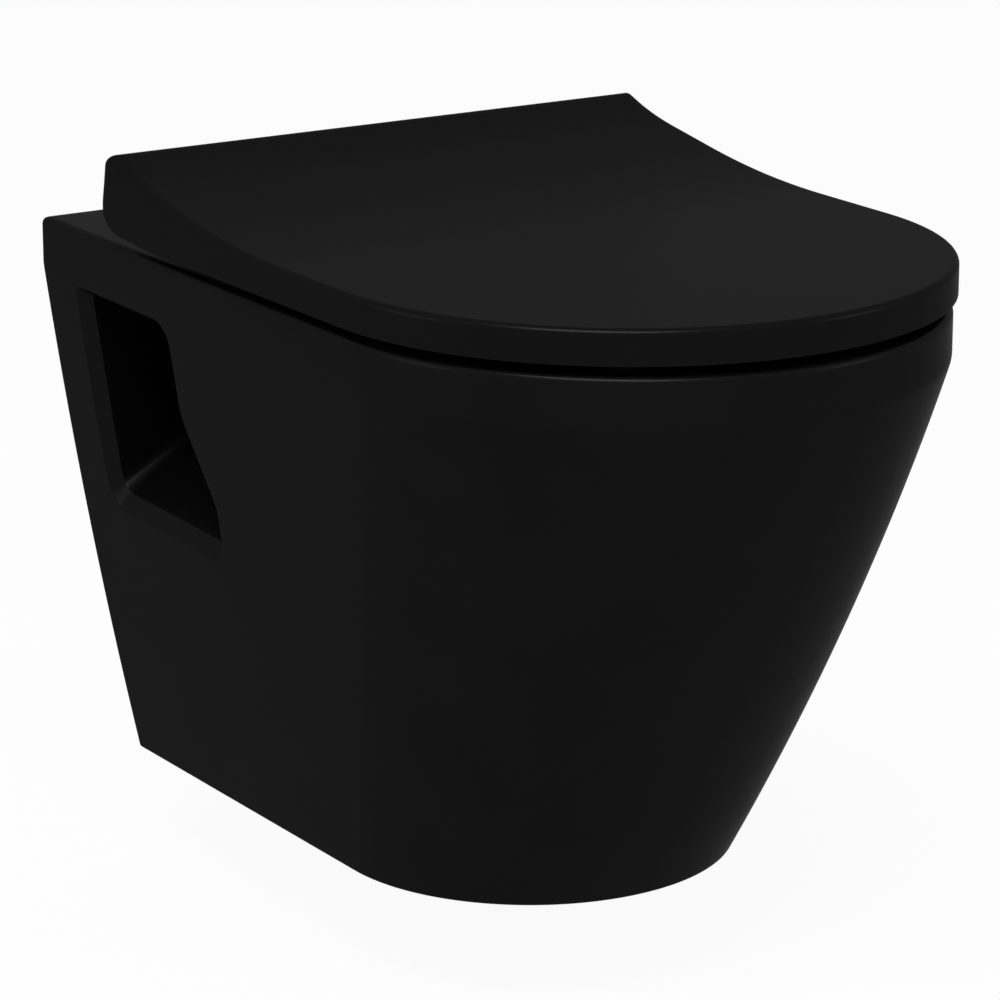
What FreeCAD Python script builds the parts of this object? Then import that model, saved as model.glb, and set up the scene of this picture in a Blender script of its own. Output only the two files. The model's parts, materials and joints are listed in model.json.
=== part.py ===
import FreeCAD, Part
import Sketcher
import math
import os
import re
from FreeCAD import Placement, Rotation, Vector

# A wall hung toilet with a swept wrap-over lid. Millimetres, +Z up, front towards -Y.
# The origin lies on the wall plane, midway between the two fixing studs.

doc = FreeCAD.newDocument("wall_hung_toilet")

# Driving dimensions. Names ending in _out are distances from the wall towards the front, names
# ending in _level are heights above the studs, and _half is a half width about the middle.
SIZES = {
    # the china pan, outside
    "pan_width": 355.0,
    "pan_depth": 540.0,
    "rim_level": 80.0,
    "rim_band": 28.5,
    "rim_round": 3.5,
    "shoulder_level": -30.0,
    "shoulder_width": 330.4,
    "shoulder_depth": 506.3,
    "waist_level": -112.0,
    "waist_width": 302.0,
    "waist_depth": 467.2,
    "calf_level": -188.0,
    "calf_width": 272.4,
    "calf_depth": 426.5,
    "foot_level": -264.5,
    "foot_width": 239.4,
    "foot_depth": 381.0,
    "foot_recess": 6.0,
    "foot_border": 14.0,
    "cut_over": 1.0,
    # the bowl, from its mouth down to the sump
    "mouth_half": 140.0,
    "mouth_front_out": 502.0,
    "mouth_back_out": 174.0,
    "mouth_corner": 62.0,
    "mouth_bevel": 5.0,
    "wall_level": 18.0,
    "wall_half": 130.0,
    "wall_front_out": 482.0,
    "wall_back_out": 182.0,
    "wall_corner": 58.0,
    "belly_level": -26.0,
    "belly_half": 108.0,
    "belly_front_out": 443.0,
    "belly_back_out": 195.0,
    "belly_corner": 50.0,
    "throat_level": -72.0,
    "throat_half": 78.0,
    "throat_front_out": 392.0,
    "throat_back_out": 212.0,
    "throat_corner": 40.0,
    "sump_level": -150.0,
    "sump_half": 44.0,
    "sump_front_out": 322.0,
    "sump_back_out": 226.0,
    "sump_corner": 26.0,
    # the trapway from the sump over the weir to the outlet
    "trap_bore": 64.0,
    "trap_start_out": 274.0,
    "trap_dip_level": -160.0,
    "trap_turn_out": 196.0,
    "trap_crown_out": 150.0,
    "trap_crown_level": -62.0,
    "trap_fall_out": 84.0,
    "trap_bend": 40.0,
    # the water inlet and the outlet at the wall
    "inlet_level": 35.0,
    "inlet_bore": 55.0,
    "inlet_depth": 52.0,
    "inlet_collar": 78.0,
    "nozzle_bore": 34.0,
    "outlet_level": -100.0,
    "outlet_bore": 82.0,
    "outlet_depth": 42.0,
    "outlet_collar": 102.0,
    # the open back
    "back_wall": 16.0,
    "back_hollow": 30.0,
    "back_corner": 18.0,
    "boss_width": 46.0,
    # the access window in each side
    "window_back_out": 43.0,
    "window_head": 45.5,
    "window_front_out": 150.5,
    "window_bend_level": -12.7,
    "window_bend_out": 153.0,
    "window_heel_out": 187.6,
    "window_heel_level": -72.7,
    "window_toe_out": 190.0,
    "window_sill": -107.5,
    "window_sill_back": -103.0,
    "pocket_half": 60.0,
    "pocket_front_out": 125.0,
    "pocket_bend_level": 10.0,
    "pocket_heel_out": 140.0,
    "pocket_heel_level": -8.0,
    "pocket_sill": -32.0,
    "pocket_sill_back": -30.0,
    "window_mouth_gap": 4.0,
    "window_head_round": 12.0,
    "window_bend_round": 40.0,
    "window_heel_round": 22.0,
    "window_toe_round": 9.0,
    "window_back_round": 7.0,
    "pocket_round": 6.0,
    "window_lip": 3.0,
    # the wall fixings
    "stud_spacing": 180.0,
    "stud_width": 12.0,
    "stud_shank_width": 10.8,
    "stud_behind_wall": 40.0,
    "stud_end_gap": 6.0,
    "stud_clearance": 0.3,
    "sleeve_wall": 3.0,
    "sleeve_collar": 30.0,
    "sleeve_collar_thick": 3.0,
    "sleeve_fit": 0.3,
    "washer_width": 28.0,
    "washer_thick": 2.5,
    "nut_flats": 19.0,
    "nut_thick": 10.0,
    "cap_width": 27.0,
    "cap_wall": 1.6,
    "cap_bevel": 3.0,
    # the seat posts on the deck
    "post_spacing": 155.0,
    "hinge_out": 110.0,
    "hinge_level": 113.0,
    "seat_hole": 16.0,
    "dowel_clearance": 0.3,
    "dowel_length": 24.0,
    "rod_width": 8.0,
    "rod_fit": 0.05,
    "rod_nut_flats": 13.0,
    "rod_nut_thick": 6.5,
    "rod_tail": 2.0,
    "seal_width": 34.0,
    "seal_thick": 1.0,
    "disc_width": 36.0,
    "disc_thick": 2.5,
    "post_width": 12.0,
    "post_height": 19.0,
    "post_socket": 9.0,
    "post_headroom": 0.3,
    "post_fit": 0.06,
    # the hinge blocks and what they hold
    "block_length": 38.0,
    "block_barrel": 28.0,
    "block_stem_width": 24.0,
    "block_stem_front_out": 130.0,
    "block_stem_back_out": 97.0,
    "block_seat_gap": 0.2,
    "block_end_wall": 3.0,
    "damper_width": 16.0,
    "damper_length": 28.0,
    "damper_fit": 0.05,
    "shaft_width": 8.0,
    "shaft_fit": 0.05,
    "lug_gap": 0.5,
    "lug_length": 20.0,
    "lug_width": 22.0,
    "shaft_end_gap": 1.0,
    "bush_width": 12.0,
    "bush_fit": 0.05,
    "slide_level": 85.2,
    "slide_thick": 3.0,
    "slide_width": 18.0,
    "slide_fit": 0.15,
    "slide_spare": 1.0,
    "slide_front_wall": 2.5,
    "slide_front_bar": 4.0,
    "button_travel": 3.0,
    "button_thick": 3.0,
    "button_gap": 0.3,
    "button_high": 3.6,
    "spring_width": 3.0,
    "spring_hole": 2.0,
    # the seat ring
    "ring_gap": 2.0,
    "ring_bottom_level": 86.0,
    "ring_thick": 14.0,
    "ring_back_out": 135.0,
    "ring_corner": 24.0,
    "ring_hole_half": 112.0,
    "ring_hole_front_out": 474.0,
    "ring_hole_back_out": 196.0,
    "ring_hole_corner": 84.0,
    "ring_edge_round": 4.5,
    "ring_hole_round": 5.0,
    "ring_under_bevel": 1.5,
    "ring_lug_rise": 4.0,
    "ring_lug_drop": 5.0,
    "ring_lug_root": 6.0,
    "buffer_width": 18.0,
    "buffer_gap": 0.3,
    "buffer_back_out": 236.0,
    "buffer_back_half": 156.0,
    "buffer_front_out": 492.0,
    "buffer_front_half": 92.0,
    "lid_buffer_width": 14.0,
    # the lid
    "lid_overhang": 5.0,
    "lid_depth": 541.0,
    "lid_wall": 4.5,
    "lid_bottom_level": 85.5,
    "lid_front_level": 106.8,
    "lid_sweep_out": 224.0,
    "lid_sweep_round": 730.0,
    "lid_rise_out": 124.5,
    "lid_rise_level": 126.9,
    "lid_rise_round": 262.0,
    "lid_crest_out": 93.4,
    "lid_crest_level": 138.6,
    "lid_crest_round": 9.0,
    "lid_heel_out": 81.2,
    "lid_heel_round": 15.0,
    "lid_plan_corner": 7.0,
    "lid_top_round": 3.5,
    "lid_notch_gap": 2.5,
    "lid_notch_level": 133.0,
    "lid_notch_depth": 18.5,
    "lid_back_wall_level": 98.0,
    "lid_web": 18.0,
    "lid_spare": 20.0,
}

sheet = doc.addObject("Spreadsheet::Sheet", "sizes")
for row, (size_name, size_value) in enumerate(SIZES.items(), start=1):
    sheet.set(f"A{row}", size_name)
    sheet.set(f"B{row}", str(size_value))
    sheet.setAlias(f"B{row}", size_name)
doc.recompute()

WORD = re.compile(r"[a-z][a-z_]*")


def cells(text):
    """Point every size named in an expression at its cell in the sheet."""
    return WORD.sub(lambda m: "sizes." + m.group() if m.group() in SIZES else m.group(), text)


def number(text):
    """The present value of an expression, for a first guess or for a plain number."""
    return float(sheet.evalExpression(cells(text)))


def drive(thing, **expressions):
    """Bind properties of an object to the sheet; a double underscore stands for a dot."""
    for name, text in expressions.items():
        thing.setExpression(name.replace("__", "."), cells(text))
    return thing


# ---------------------------------------------------------------- sketches

def new_body(label):
    body = doc.addObject("PartDesign::Body", label)
    body.Label = label
    return body


def sketch_on(body, role, offset="0"):
    """A sketch on one of the body's own origin planes, moved along the plane's normal."""
    sketch = body.newObject("Sketcher::SketchObject", body.Name + "_outline")
    plane = next(item for item in body.Origin.OriginFeatures if item.Role == role)
    sketch.AttachmentSupport = [(plane, "")]
    sketch.MapMode = "FlatFace"
    drive(sketch, AttachmentOffset__Base__z=offset)
    return sketch


def free_sketch(name):
    return doc.addObject("Sketcher::SketchObject", name)


def limit(sketch, kind, *places, text):
    """A dimension of the sketch, driven by an expression of named sizes."""
    index = sketch.addConstraint(Sketcher.Constraint(kind, *places, number(text)))
    sketch.setExpression(f"Constraints[{index}]", cells(text))


def pin_point(sketch, geometry, spot, across, up):
    limit(sketch, "DistanceX", geometry, spot, text=across)
    limit(sketch, "DistanceY", geometry, spot, text=up)


def corner_points(before, corner, after, radius):
    """Where a rounded corner starts and ends, its centre, and whether it turns left."""
    to_before = (before - corner).normalize()
    to_after = (after - corner).normalize()
    half_angle = to_before.getAngle(to_after) / 2
    reach = radius / abs(math.tan(half_angle))
    middle = (to_before + to_after).normalize()
    centre = corner + middle * (radius / abs(math.sin(half_angle)))
    turns_left = (corner - before).cross(after - corner).z > 0
    return corner + to_before * reach, corner + to_after * reach, centre, turns_left


def outline(sketch, corners, closed=True):
    """Straight runs between corners, each corner (across, up) or (across, up, round)."""
    spots = [Vector(number(c[0]), number(c[1]), 0) for c in corners]
    count = len(corners)
    ends = {}
    for i, corner in enumerate(corners):
        rounded = len(corner) == 3 and (closed or 0 < i < count - 1)
        if rounded:
            start, stop, centre, left = corner_points(
                spots[i - 1], spots[i], spots[(i + 1) % count], number(corner[2]))
            ends[i] = (start, stop, centre, left)
        else:
            ends[i] = (spots[i], spots[i], None, None)
    runs = []
    for i in range(count if closed else count - 1):
        j = (i + 1) % count
        runs.append(sketch.addGeometry(Part.LineSegment(ends[i][1], ends[j][0]), False))
    for i, corner in enumerate(corners):
        start, stop, centre, left = ends[i]
        before = runs[i - 1] if closed or i > 0 else None
        after = runs[i] if i < len(runs) else None
        if centre is None:
            if before is not None and after is not None:
                sketch.addConstraint(Sketcher.Constraint("Coincident", before, 2, after, 1))
            if after is not None:
                pin_point(sketch, after, 1, corner[0], corner[1])
            else:
                pin_point(sketch, before, 2, corner[0], corner[1])
            continue
        arc_first, arc_last = (start, stop) if left else (stop, start)
        circle = Part.Circle(centre, Vector(0, 0, 1), (start - centre).Length)
        arc = sketch.addGeometry(
            Part.ArcOfCircle(circle, circle.parameter(arc_first), circle.parameter(arc_last)))
        begin, finish = (1, 2) if left else (2, 1)
        sketch.addConstraint(Sketcher.Constraint("Tangent", before, 2, arc, begin))
        sketch.addConstraint(Sketcher.Constraint("Tangent", arc, finish, after, 1))
        mark = sketch.addGeometry(Part.Point(spots[i]), True)
        sketch.addConstraint(Sketcher.Constraint("PointOnObject", mark, 1, before))
        sketch.addConstraint(Sketcher.Constraint("PointOnObject", mark, 1, after))
        pin_point(sketch, mark, 1, corner[0], corner[1])
        limit(sketch, "Radius", arc, text=corner[2])
    return sketch


def round_nose(sketch, half, front, back, corner=None):
    """A plan outline: straight back and sides, and a half-round front as wide as the sides."""
    wide, nose, rear = number(half), -number(front), -number(back)
    turn = nose + wide
    radius = number(corner) if corner else 0.0
    circle = Part.Circle(Vector(0, turn, 0), Vector(0, 0, 1), wide)
    bow = sketch.addGeometry(Part.ArcOfCircle(circle, math.pi, 2 * math.pi))
    starboard = sketch.addGeometry(
        Part.LineSegment(Vector(wide, turn, 0), Vector(wide, rear - radius, 0)))
    stern = sketch.addGeometry(
        Part.LineSegment(Vector(wide - radius, rear, 0), Vector(radius - wide, rear, 0)))
    port = sketch.addGeometry(
        Part.LineSegment(Vector(-wide, rear - radius, 0), Vector(-wide, turn, 0)))
    sketch.addConstraint(Sketcher.Constraint("Tangent", bow, 2, starboard, 1))
    sketch.addConstraint(Sketcher.Constraint("Tangent", port, 2, bow, 1))
    sketch.addConstraint(Sketcher.Constraint("Vertical", starboard))
    sketch.addConstraint(Sketcher.Constraint("Vertical", port))
    sketch.addConstraint(Sketcher.Constraint("Horizontal", stern))
    sketch.addConstraint(Sketcher.Constraint("PointOnObject", bow, 3, -2))
    limit(sketch, "DistanceY", bow, 3, text=f"-(({front}) - ({half}))")
    limit(sketch, "Radius", bow, text=half)
    if corner:
        for line_in, line_out, side in ((starboard, stern, 1), (stern, port, -1)):
            middle = Vector(side * (wide - radius), rear - radius, 0)
            arc_circle = Part.Circle(middle, Vector(0, 0, 1), radius)
            first = 0.0 if side > 0 else math.pi / 2
            arc = sketch.addGeometry(
                Part.ArcOfCircle(arc_circle, first, first + math.pi / 2))
            sketch.addConstraint(Sketcher.Constraint("Tangent", line_in, 2, arc, 1))
            sketch.addConstraint(Sketcher.Constraint("Tangent", arc, 2, line_out, 1))
            limit(sketch, "Radius", arc, text=corner)
    else:
        sketch.addConstraint(Sketcher.Constraint("Coincident", starboard, 2, stern, 1))
        sketch.addConstraint(Sketcher.Constraint("Coincident", stern, 2, port, 1))
    limit(sketch, "DistanceY", stern, 1, text=f"-({back})")
    return sketch


def circles(sketch, *rings):
    """Full circles, each (across, up, width)."""
    for across, up, width in rings:
        centre = Vector(number(across), number(up), 0)
        ring = sketch.addGeometry(Part.Circle(centre, Vector(0, 0, 1), number(width) / 2))
        pin_point(sketch, ring, 3, across, up)
        limit(sketch, "Diameter", ring, text=width)
    return sketch


# ---------------------------------------------------------------- features

def volume_of(feature):
    return feature.Shape.Volume


def pad(body, sketch, length):
    feature = body.newObject("PartDesign::Pad", body.Name + "_pad")
    feature.Profile = sketch
    drive(feature, Length=length)
    doc.recompute()
    return feature


def pocket(body, sketch, depth=None, backwards=False):
    """Cut a sketch away, to a depth or right through, and make sure that it cut."""
    before = volume_of(body.Tip)
    feature = body.newObject("PartDesign::Pocket", body.Name + "_cut")
    feature.Profile = sketch
    feature.Reversed = backwards
    if depth:
        drive(feature, Length=depth)
    else:
        feature.Type = "ThroughAll"
    doc.recompute()
    if volume_of(feature) > before - 1.0:
        raise ValueError(f"{feature.Name} cuts nothing")
    return feature


def loft(body, sketches, cut=False):
    kind = "PartDesign::SubtractiveLoft" if cut else "PartDesign::AdditiveLoft"
    feature = body.newObject(kind, body.Name + "_loft")
    feature.Profile = sketches[0]
    feature.Sections = sketches[1:]
    feature.Ruled = True
    doc.recompute()
    return feature


def pipe_cut(body, profile, spine):
    feature = body.newObject("PartDesign::SubtractivePipe", body.Name + "_way")
    feature.Profile = profile
    feature.Spine = spine
    doc.recompute()
    return feature


def mirrored(body, feature, role="YZ_Plane"):
    plane = next(item for item in body.Origin.OriginFeatures if item.Role == role)
    copy = body.newObject("PartDesign::Mirrored", body.Name + "_mirror")
    copy.Originals = [feature]
    copy.MirrorPlane = (plane, [""])
    body.Tip = copy
    doc.recompute()
    return copy


def ease(body, size, chosen, bevel=False):
    """Round or bevel the edges of the body's last shape that the test picks by their place."""
    base = body.Tip
    names = [f"Edge{i}" for i, edge in enumerate(base.Shape.Edges, start=1) if chosen(edge)]
    if not names:
        raise ValueError(f"no edge of {body.Label} to ease")
    if bevel:
        feature = body.newObject("PartDesign::Chamfer", body.Name + "_bevel")
        drive(feature, Size=size)
    else:
        feature = body.newObject("PartDesign::Fillet", body.Name + "_round")
        drive(feature, Radius=size)
    feature.Base = (base, names)
    doc.recompute()
    return feature


def spots_on(edge):
    """Both ends and the middle of an edge."""
    first, last = edge.ParameterRange
    return [edge.valueAt(first), edge.valueAt((first + last) / 2), edge.valueAt(last)]


def at_level(edge, level, slack=0.05):
    return all(abs(spot.z - level) < slack for spot in spots_on(edge))


# ---------------------------------------------------------------- the pan

def pan_outside(body):
    """The tapering china body under a straight rim band."""
    band_foot = "rim_level - rim_band"
    sections = (
        (band_foot, "pan_width / 2", "pan_depth"),
        ("shoulder_level", "shoulder_width / 2", "shoulder_depth"),
        ("waist_level", "waist_width / 2", "waist_depth"),
        ("calf_level", "calf_width / 2", "calf_depth"),
        ("foot_level", "foot_width / 2", "foot_depth"))
    outlines = [round_nose(sketch_on(body, "XY_Plane", level), half, depth, "0")
                for level, half, depth in sections]
    loft(body, outlines)
    band = round_nose(sketch_on(body, "XY_Plane", band_foot), "pan_width / 2", "pan_depth", "0")
    pad(body, band, "rim_band")
    rim = number("rim_level")
    foot = number("foot_level")
    ease(body, "rim_round", lambda edge: at_level(edge, rim))
    ease(body, "rim_round / 2", lambda edge: at_level(edge, foot))


def pan_bowl(body):
    """A smooth bowl without a box rim: straight walls that close in on the sump."""
    sections = (
        ("rim_level + cut_over", "mouth_half", "mouth_front_out", "mouth_back_out", "mouth_corner"),
        ("wall_level", "wall_half", "wall_front_out", "wall_back_out", "wall_corner"),
        ("belly_level", "belly_half", "belly_front_out", "belly_back_out", "belly_corner"),
        ("throat_level", "throat_half", "throat_front_out", "throat_back_out", "throat_corner"),
        ("sump_level", "sump_half", "sump_front_out", "sump_back_out", "sump_corner"))
    outlines = [round_nose(sketch_on(body, "XY_Plane", level), half, front, back, corner)
                for level, half, front, back, corner in sections]
    loft(body, outlines, cut=True)
    rim = number("rim_level")
    reach = number("mouth_front_out + cut_over")
    back = number("mouth_back_out - cut_over")

    def on_mouth(edge):
        inside = all(-reach < spot.y < -back for spot in spots_on(edge))
        return inside and at_level(edge, rim)

    ease(body, "mouth_bevel", on_mouth, bevel=True)


def pan_trapway(body):
    """The waste passage: down from the sump, up over the weir and back to the wall."""
    route = outline(
        sketch_on(body, "YZ_Plane"),
        (("-trap_start_out", "trap_dip_level + trap_bore"),
         ("-trap_start_out", "trap_dip_level", "trap_bend"),
         ("-trap_turn_out", "trap_dip_level", "trap_bend"),
         ("-trap_crown_out", "trap_crown_level", "trap_bend"),
         ("-trap_fall_out", "outlet_level", "trap_bend"),
         ("-back_hollow", "outlet_level")), closed=False)
    mouth = circles(
        sketch_on(body, "XY_Plane", "trap_dip_level + trap_bore"),
        ("0", "-trap_start_out", "trap_bore"))
    pipe_cut(body, mouth, route)


def pan_back(body):
    """The open back with its bosses and collars, the stud holes, inlet and outlet."""
    slope = "(foot_width - calf_width) / (foot_level - calf_level) / 2"
    top = "rim_level - back_wall"
    low = "foot_level + back_wall"
    top_half = "pan_width / 2 - back_wall"
    low_half = f"foot_width / 2 - back_wall + {slope} * back_wall"
    hollow = outline(
        sketch_on(body, "XZ_Plane"),
        ((f"-({top_half})", top, "back_corner"), (f"-({low_half})", low, "back_corner"),
         (low_half, low, "back_corner"), (top_half, top, "back_corner")))
    pocket(body, hollow, "back_hollow", backwards=True)
    stud = "stud_spacing / 2"
    for rings in ((("-" + stud, "0", "boss_width"), (stud, "0", "boss_width")),
                  (("0", "inlet_level", "inlet_collar"),),
                  (("0", "outlet_level", "outlet_collar"),)):
        bosses = circles(sketch_on(body, "XZ_Plane"), *rings)
        pad(body, bosses, "back_hollow")
    hole_width = "stud_width + 2 * (sleeve_wall + sleeve_fit + stud_clearance)"
    holes = circles(sketch_on(body, "XZ_Plane"), ("-" + stud, "0", hole_width), (stud, "0", hole_width))
    pocket(body, holes, "window_back_out + cut_over", backwards=True)
    pocket(body, circles(sketch_on(body, "XZ_Plane"), ("0", "inlet_level", "inlet_bore")),
           "inlet_depth", backwards=True)
    pocket(body, circles(sketch_on(body, "XZ_Plane"), ("0", "inlet_level", "nozzle_bore")),
           "wall_back_out + cut_over", backwards=True)
    pocket(body, circles(sketch_on(body, "XZ_Plane"), ("0", "outlet_level", "outlet_bore")),
           "outlet_depth", backwards=True)


def pan_windows(body):
    """An access window in each side, whose pocket narrows and whose floor climbs inwards."""
    mouth_plane = "pan_width / 2 + window_mouth_gap"
    mouth = outline(
        sketch_on(body, "YZ_Plane", mouth_plane),
        (("-window_back_out", "window_head", "window_back_round"),
         ("-window_front_out", "window_head", "window_head_round"),
         ("-window_bend_out", "window_bend_level", "window_bend_round"),
         ("-window_heel_out", "window_heel_level", "window_heel_round"),
         ("-window_toe_out", "window_sill", "window_toe_round"),
         ("-window_back_out", "window_sill_back", "window_back_round")))
    inner = outline(
        sketch_on(body, "YZ_Plane", "pocket_half"),
        (("-window_back_out", "window_head", "pocket_round"),
         ("-pocket_front_out", "window_head", "pocket_round"),
         ("-pocket_front_out", "pocket_bend_level", "pocket_round"),
         ("-pocket_heel_out", "pocket_heel_level", "pocket_round"),
         ("-pocket_heel_out", "pocket_sill", "pocket_round"),
         ("-window_back_out", "pocket_sill_back", "pocket_round")))
    right = loft(body, (mouth, inner), cut=True)
    mirrored(body, right)
    surface = number("waist_width / 2 - 2 * cut_over")
    head = number("window_head + cut_over")
    nearest = number("window_back_out - cut_over")
    farthest = number("window_toe_out + cut_over")

    def on_window(edge):
        return all(abs(spot.x) > surface and -farthest < spot.y < -nearest and spot.z < head
                   for spot in spots_on(edge))

    ease(body, "window_lip", on_window)


def make_pan():
    body = new_body("pan")
    pan_outside(body)
    pan_bowl(body)
    pan_windows(body)
    pan_back(body)
    pan_trapway(body)
    post = "post_spacing / 2"
    seat_holes = circles(sketch_on(body, "XY_Plane", "rim_level"),
                         ("-" + post, "-hinge_out", "seat_hole"), (post, "-hinge_out", "seat_hole"))
    pocket(body, seat_holes, "rim_level - window_head + cut_over")
    recess = round_nose(sketch_on(body, "XY_Plane", "foot_level"), "foot_width / 2 - foot_border",
                        "foot_depth - foot_border", "foot_border", "back_corner")
    pocket(body, recess, "foot_recess", backwards=True)
    return body


# ---------------------------------------------------------------- plain turned and flat pieces

def placed(thing, x="0", y="0", z="0", turn=None):
    """Place an object by named sizes, with its own Z axis turned along X or Y if asked."""
    turns = {"X": Rotation(Vector(0, 1, 0), 90), "Y": Rotation(Vector(1, 0, 0), -90), None: Rotation()}
    thing.Placement = Placement(Vector(0, 0, 0), turns[turn])
    return drive(thing, Placement__Base__x=x, Placement__Base__y=y, Placement__Base__z=z)


def rod(width, length, **place):
    piece = doc.addObject("Part::Cylinder", "rod")
    drive(piece, Radius=f"({width}) / 2", Height=length)
    return placed(piece, **place)


def block(wide, deep, high, x, y, z):
    """A box of the given sizes whose lowest corner lies at x, y, z."""
    piece = doc.addObject("Part::Box", "block")
    drive(piece, Length=wide, Width=deep, Height=high)
    return placed(piece, x, y, z)


def hexagon(flats, length, **place):
    piece = doc.addObject("Part::Prism", "hexagon")
    piece.Polygon = 6
    drive(piece, Circumradius=f"({flats}) / sqrt(3)", Height=length)
    return placed(piece, **place)


def joined(*pieces):
    piece = doc.addObject("Part::MultiFuse", "joined")
    piece.Shapes = list(pieces)
    return piece


def without(base, *tools):
    piece = doc.addObject("Part::Cut", "cut")
    piece.Base = base
    piece.Tool = tools[0] if len(tools) == 1 else joined(*tools)
    return piece


def node(label, *pieces):
    """Name a finished sub-part; several like solids share one node as a group."""
    if len(pieces) == 1:
        piece = pieces[0]
    else:
        piece = doc.addObject("Part::Compound", label)
        piece.Links = list(pieces)
    piece.Label = label
    NODES.append(piece)
    return piece


def pair(label, make, half):
    """The same piece at both sides, each made about its own place across."""
    return node(label, make(f"-({half})"), make(half))


def at_depth(edge, depth, slack=0.05):
    return all(abs(spot.y - depth) < slack for spot in spots_on(edge))


def softened(base, size, chosen, bevel=False):
    """Round or bevel the edges of a plain piece that the test picks by their place."""
    doc.recompute()
    reach = number(size)
    edges = [(i, reach, reach) for i, edge in enumerate(base.Shape.Edges, start=1) if chosen(edge)]
    if not edges:
        raise ValueError(f"no edge of {base.Label} to soften")
    piece = doc.addObject("Part::Chamfer" if bevel else "Part::Fillet", "softened")
    piece.Base = base
    piece.Edges = edges
    doc.recompute()
    return piece


# ---------------------------------------------------------------- the wall fixings

def make_wall_fixings():
    half = "stud_spacing / 2"
    seat = "-window_back_out"
    bore = "stud_width + 2 * stud_clearance"
    washer_face = f"{seat} - sleeve_collar_thick"
    nut_face = f"{washer_face} - washer_thick"
    stud_end = f"{nut_face} - nut_thick - stud_end_gap"

    def stud(x):
        shank = rod("stud_shank_width", f"-({stud_end})", x=x, y=stud_end, turn="Y")
        return joined(shank, rod("stud_width", "stud_behind_wall", x=x, turn="Y"))

    def sleeve(x):
        tube = rod(f"{bore} + 2 * sleeve_wall", "window_back_out", x=x, y=seat, turn="Y")
        collar = rod("sleeve_collar", "sleeve_collar_thick", x=x, y=washer_face, turn="Y")
        hole = rod(bore, "window_back_out + sleeve_collar_thick", x=x, y=washer_face, turn="Y")
        return without(joined(tube, collar), hole)

    def washer(x):
        disc = rod("washer_width", "washer_thick", x=x, y=nut_face, turn="Y")
        return without(disc, rod(bore, "washer_thick", x=x, y=nut_face, turn="Y"))

    def nut(x):
        face = f"{nut_face} - nut_thick"
        body = hexagon("nut_flats", "nut_thick", x=x, y=face, turn="Y")
        hole = rod("stud_shank_width + 2 * rod_fit", "nut_thick", x=x, y=face, turn="Y")
        return without(body, hole)

    def cap(x):
        top = f"{stud_end} - stud_end_gap"
        shell = rod("cap_width", f"({nut_face}) - ({top})", x=x, y=top, turn="Y")
        inside = rod("cap_width - 2 * cap_wall", f"({nut_face}) - ({top}) - cap_wall",
                     x=x, y=f"{top} + cap_wall", turn="Y")
        face = number(top)
        soft = softened(shell, "cap_bevel", lambda edge: at_depth(edge, face), bevel=True)
        return without(soft, inside)

    pair("wall_studs", stud, half)
    pair("stud_sleeves", sleeve, half)
    pair("stud_washers", washer, half)
    pair("stud_nuts", nut, half)
    pair("nut_caps", cap, half)


# ---------------------------------------------------------------- the seat posts on the deck

def make_seat_posts():
    half = "post_spacing / 2"
    out = "-hinge_out"
    seal_top = "rim_level + seal_thick"
    disc_top = f"{seal_top} + disc_thick"
    dowel_foot = "rim_level - dowel_length"
    nut_foot = f"{dowel_foot} - rod_nut_thick"
    rod_foot = f"{nut_foot} - rod_tail"
    hole = "rod_width + 2 * rod_fit"

    def dowel(x):
        tube = rod("seat_hole - 2 * dowel_clearance", "dowel_length", x=x, y=out, z=dowel_foot)
        return without(tube, rod(hole, "dowel_length", x=x, y=out, z=dowel_foot))

    def rod_nut(x):
        body = hexagon("rod_nut_flats", "rod_nut_thick", x=x, y=out, z=nut_foot)
        return without(body, rod(hole, "rod_nut_thick", x=x, y=out, z=nut_foot))

    def fixing_rod(x):
        top = f"{disc_top} + post_socket - 2 * post_fit"
        return rod("rod_width", f"({top}) - ({rod_foot})", x=x, y=out, z=rod_foot)

    def seal(x):
        disc = rod("seal_width", "seal_thick", x=x, y=out, z="rim_level")
        return without(disc, rod(hole, "seal_thick", x=x, y=out, z="rim_level"))

    def base_disc(x):
        disc = rod("disc_width", "disc_thick", x=x, y=out, z=seal_top)
        top = number(disc_top)
        soft = softened(disc, "disc_thick / 3", lambda edge: at_level(edge, top), bevel=True)
        return without(soft, rod(hole, "disc_thick", x=x, y=out, z=seal_top))

    def post(x):
        shaft = rod("post_width", "post_height", x=x, y=out, z=disc_top)
        top = number(f"{disc_top} + post_height")
        soft = softened(shaft, "post_width / 8", lambda edge: at_level(edge, top), bevel=True)
        return without(soft, rod(hole, "post_socket", x=x, y=out, z=disc_top))

    pair("expanding_dowels", dowel, half)
    pair("dowel_nuts", rod_nut, half)
    pair("fixing_rods", fixing_rod, half)
    pair("disc_seals", seal, half)
    pair("base_discs", base_disc, half)
    pair("hinge_posts", post, half)


# ---------------------------------------------------------------- the lift-off hinges

SIDES = (("left", "-1"), ("right", "1"))
POST_X = "post_spacing / 2"
AXIS_Y = "-hinge_out"
BLOCK_FOOT = "rim_level + seal_thick + disc_thick + block_seat_gap"


def span(side, inner, outer):
    """The lower end of a stretch between two distances from the middle, on either side."""
    return inner if side == "1" else f"-({outer})"


def along(width, side, inner, outer):
    """A rod on the hinge axis between two distances from the middle."""
    return rod(width, f"({outer}) - ({inner})", x=span(side, inner, outer),
               y=AXIS_Y, z="hinge_level", turn="X")


BLOCK_INNER = f"{POST_X} - block_length / 2"
BLOCK_OUTER = f"{POST_X} + block_length / 2"
SLIDE_FRONT = "-hinge_out - post_width / 2 - post_fit - slide_front_bar"
SLOT_FRONT = "-block_stem_front_out + slide_front_wall"


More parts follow.
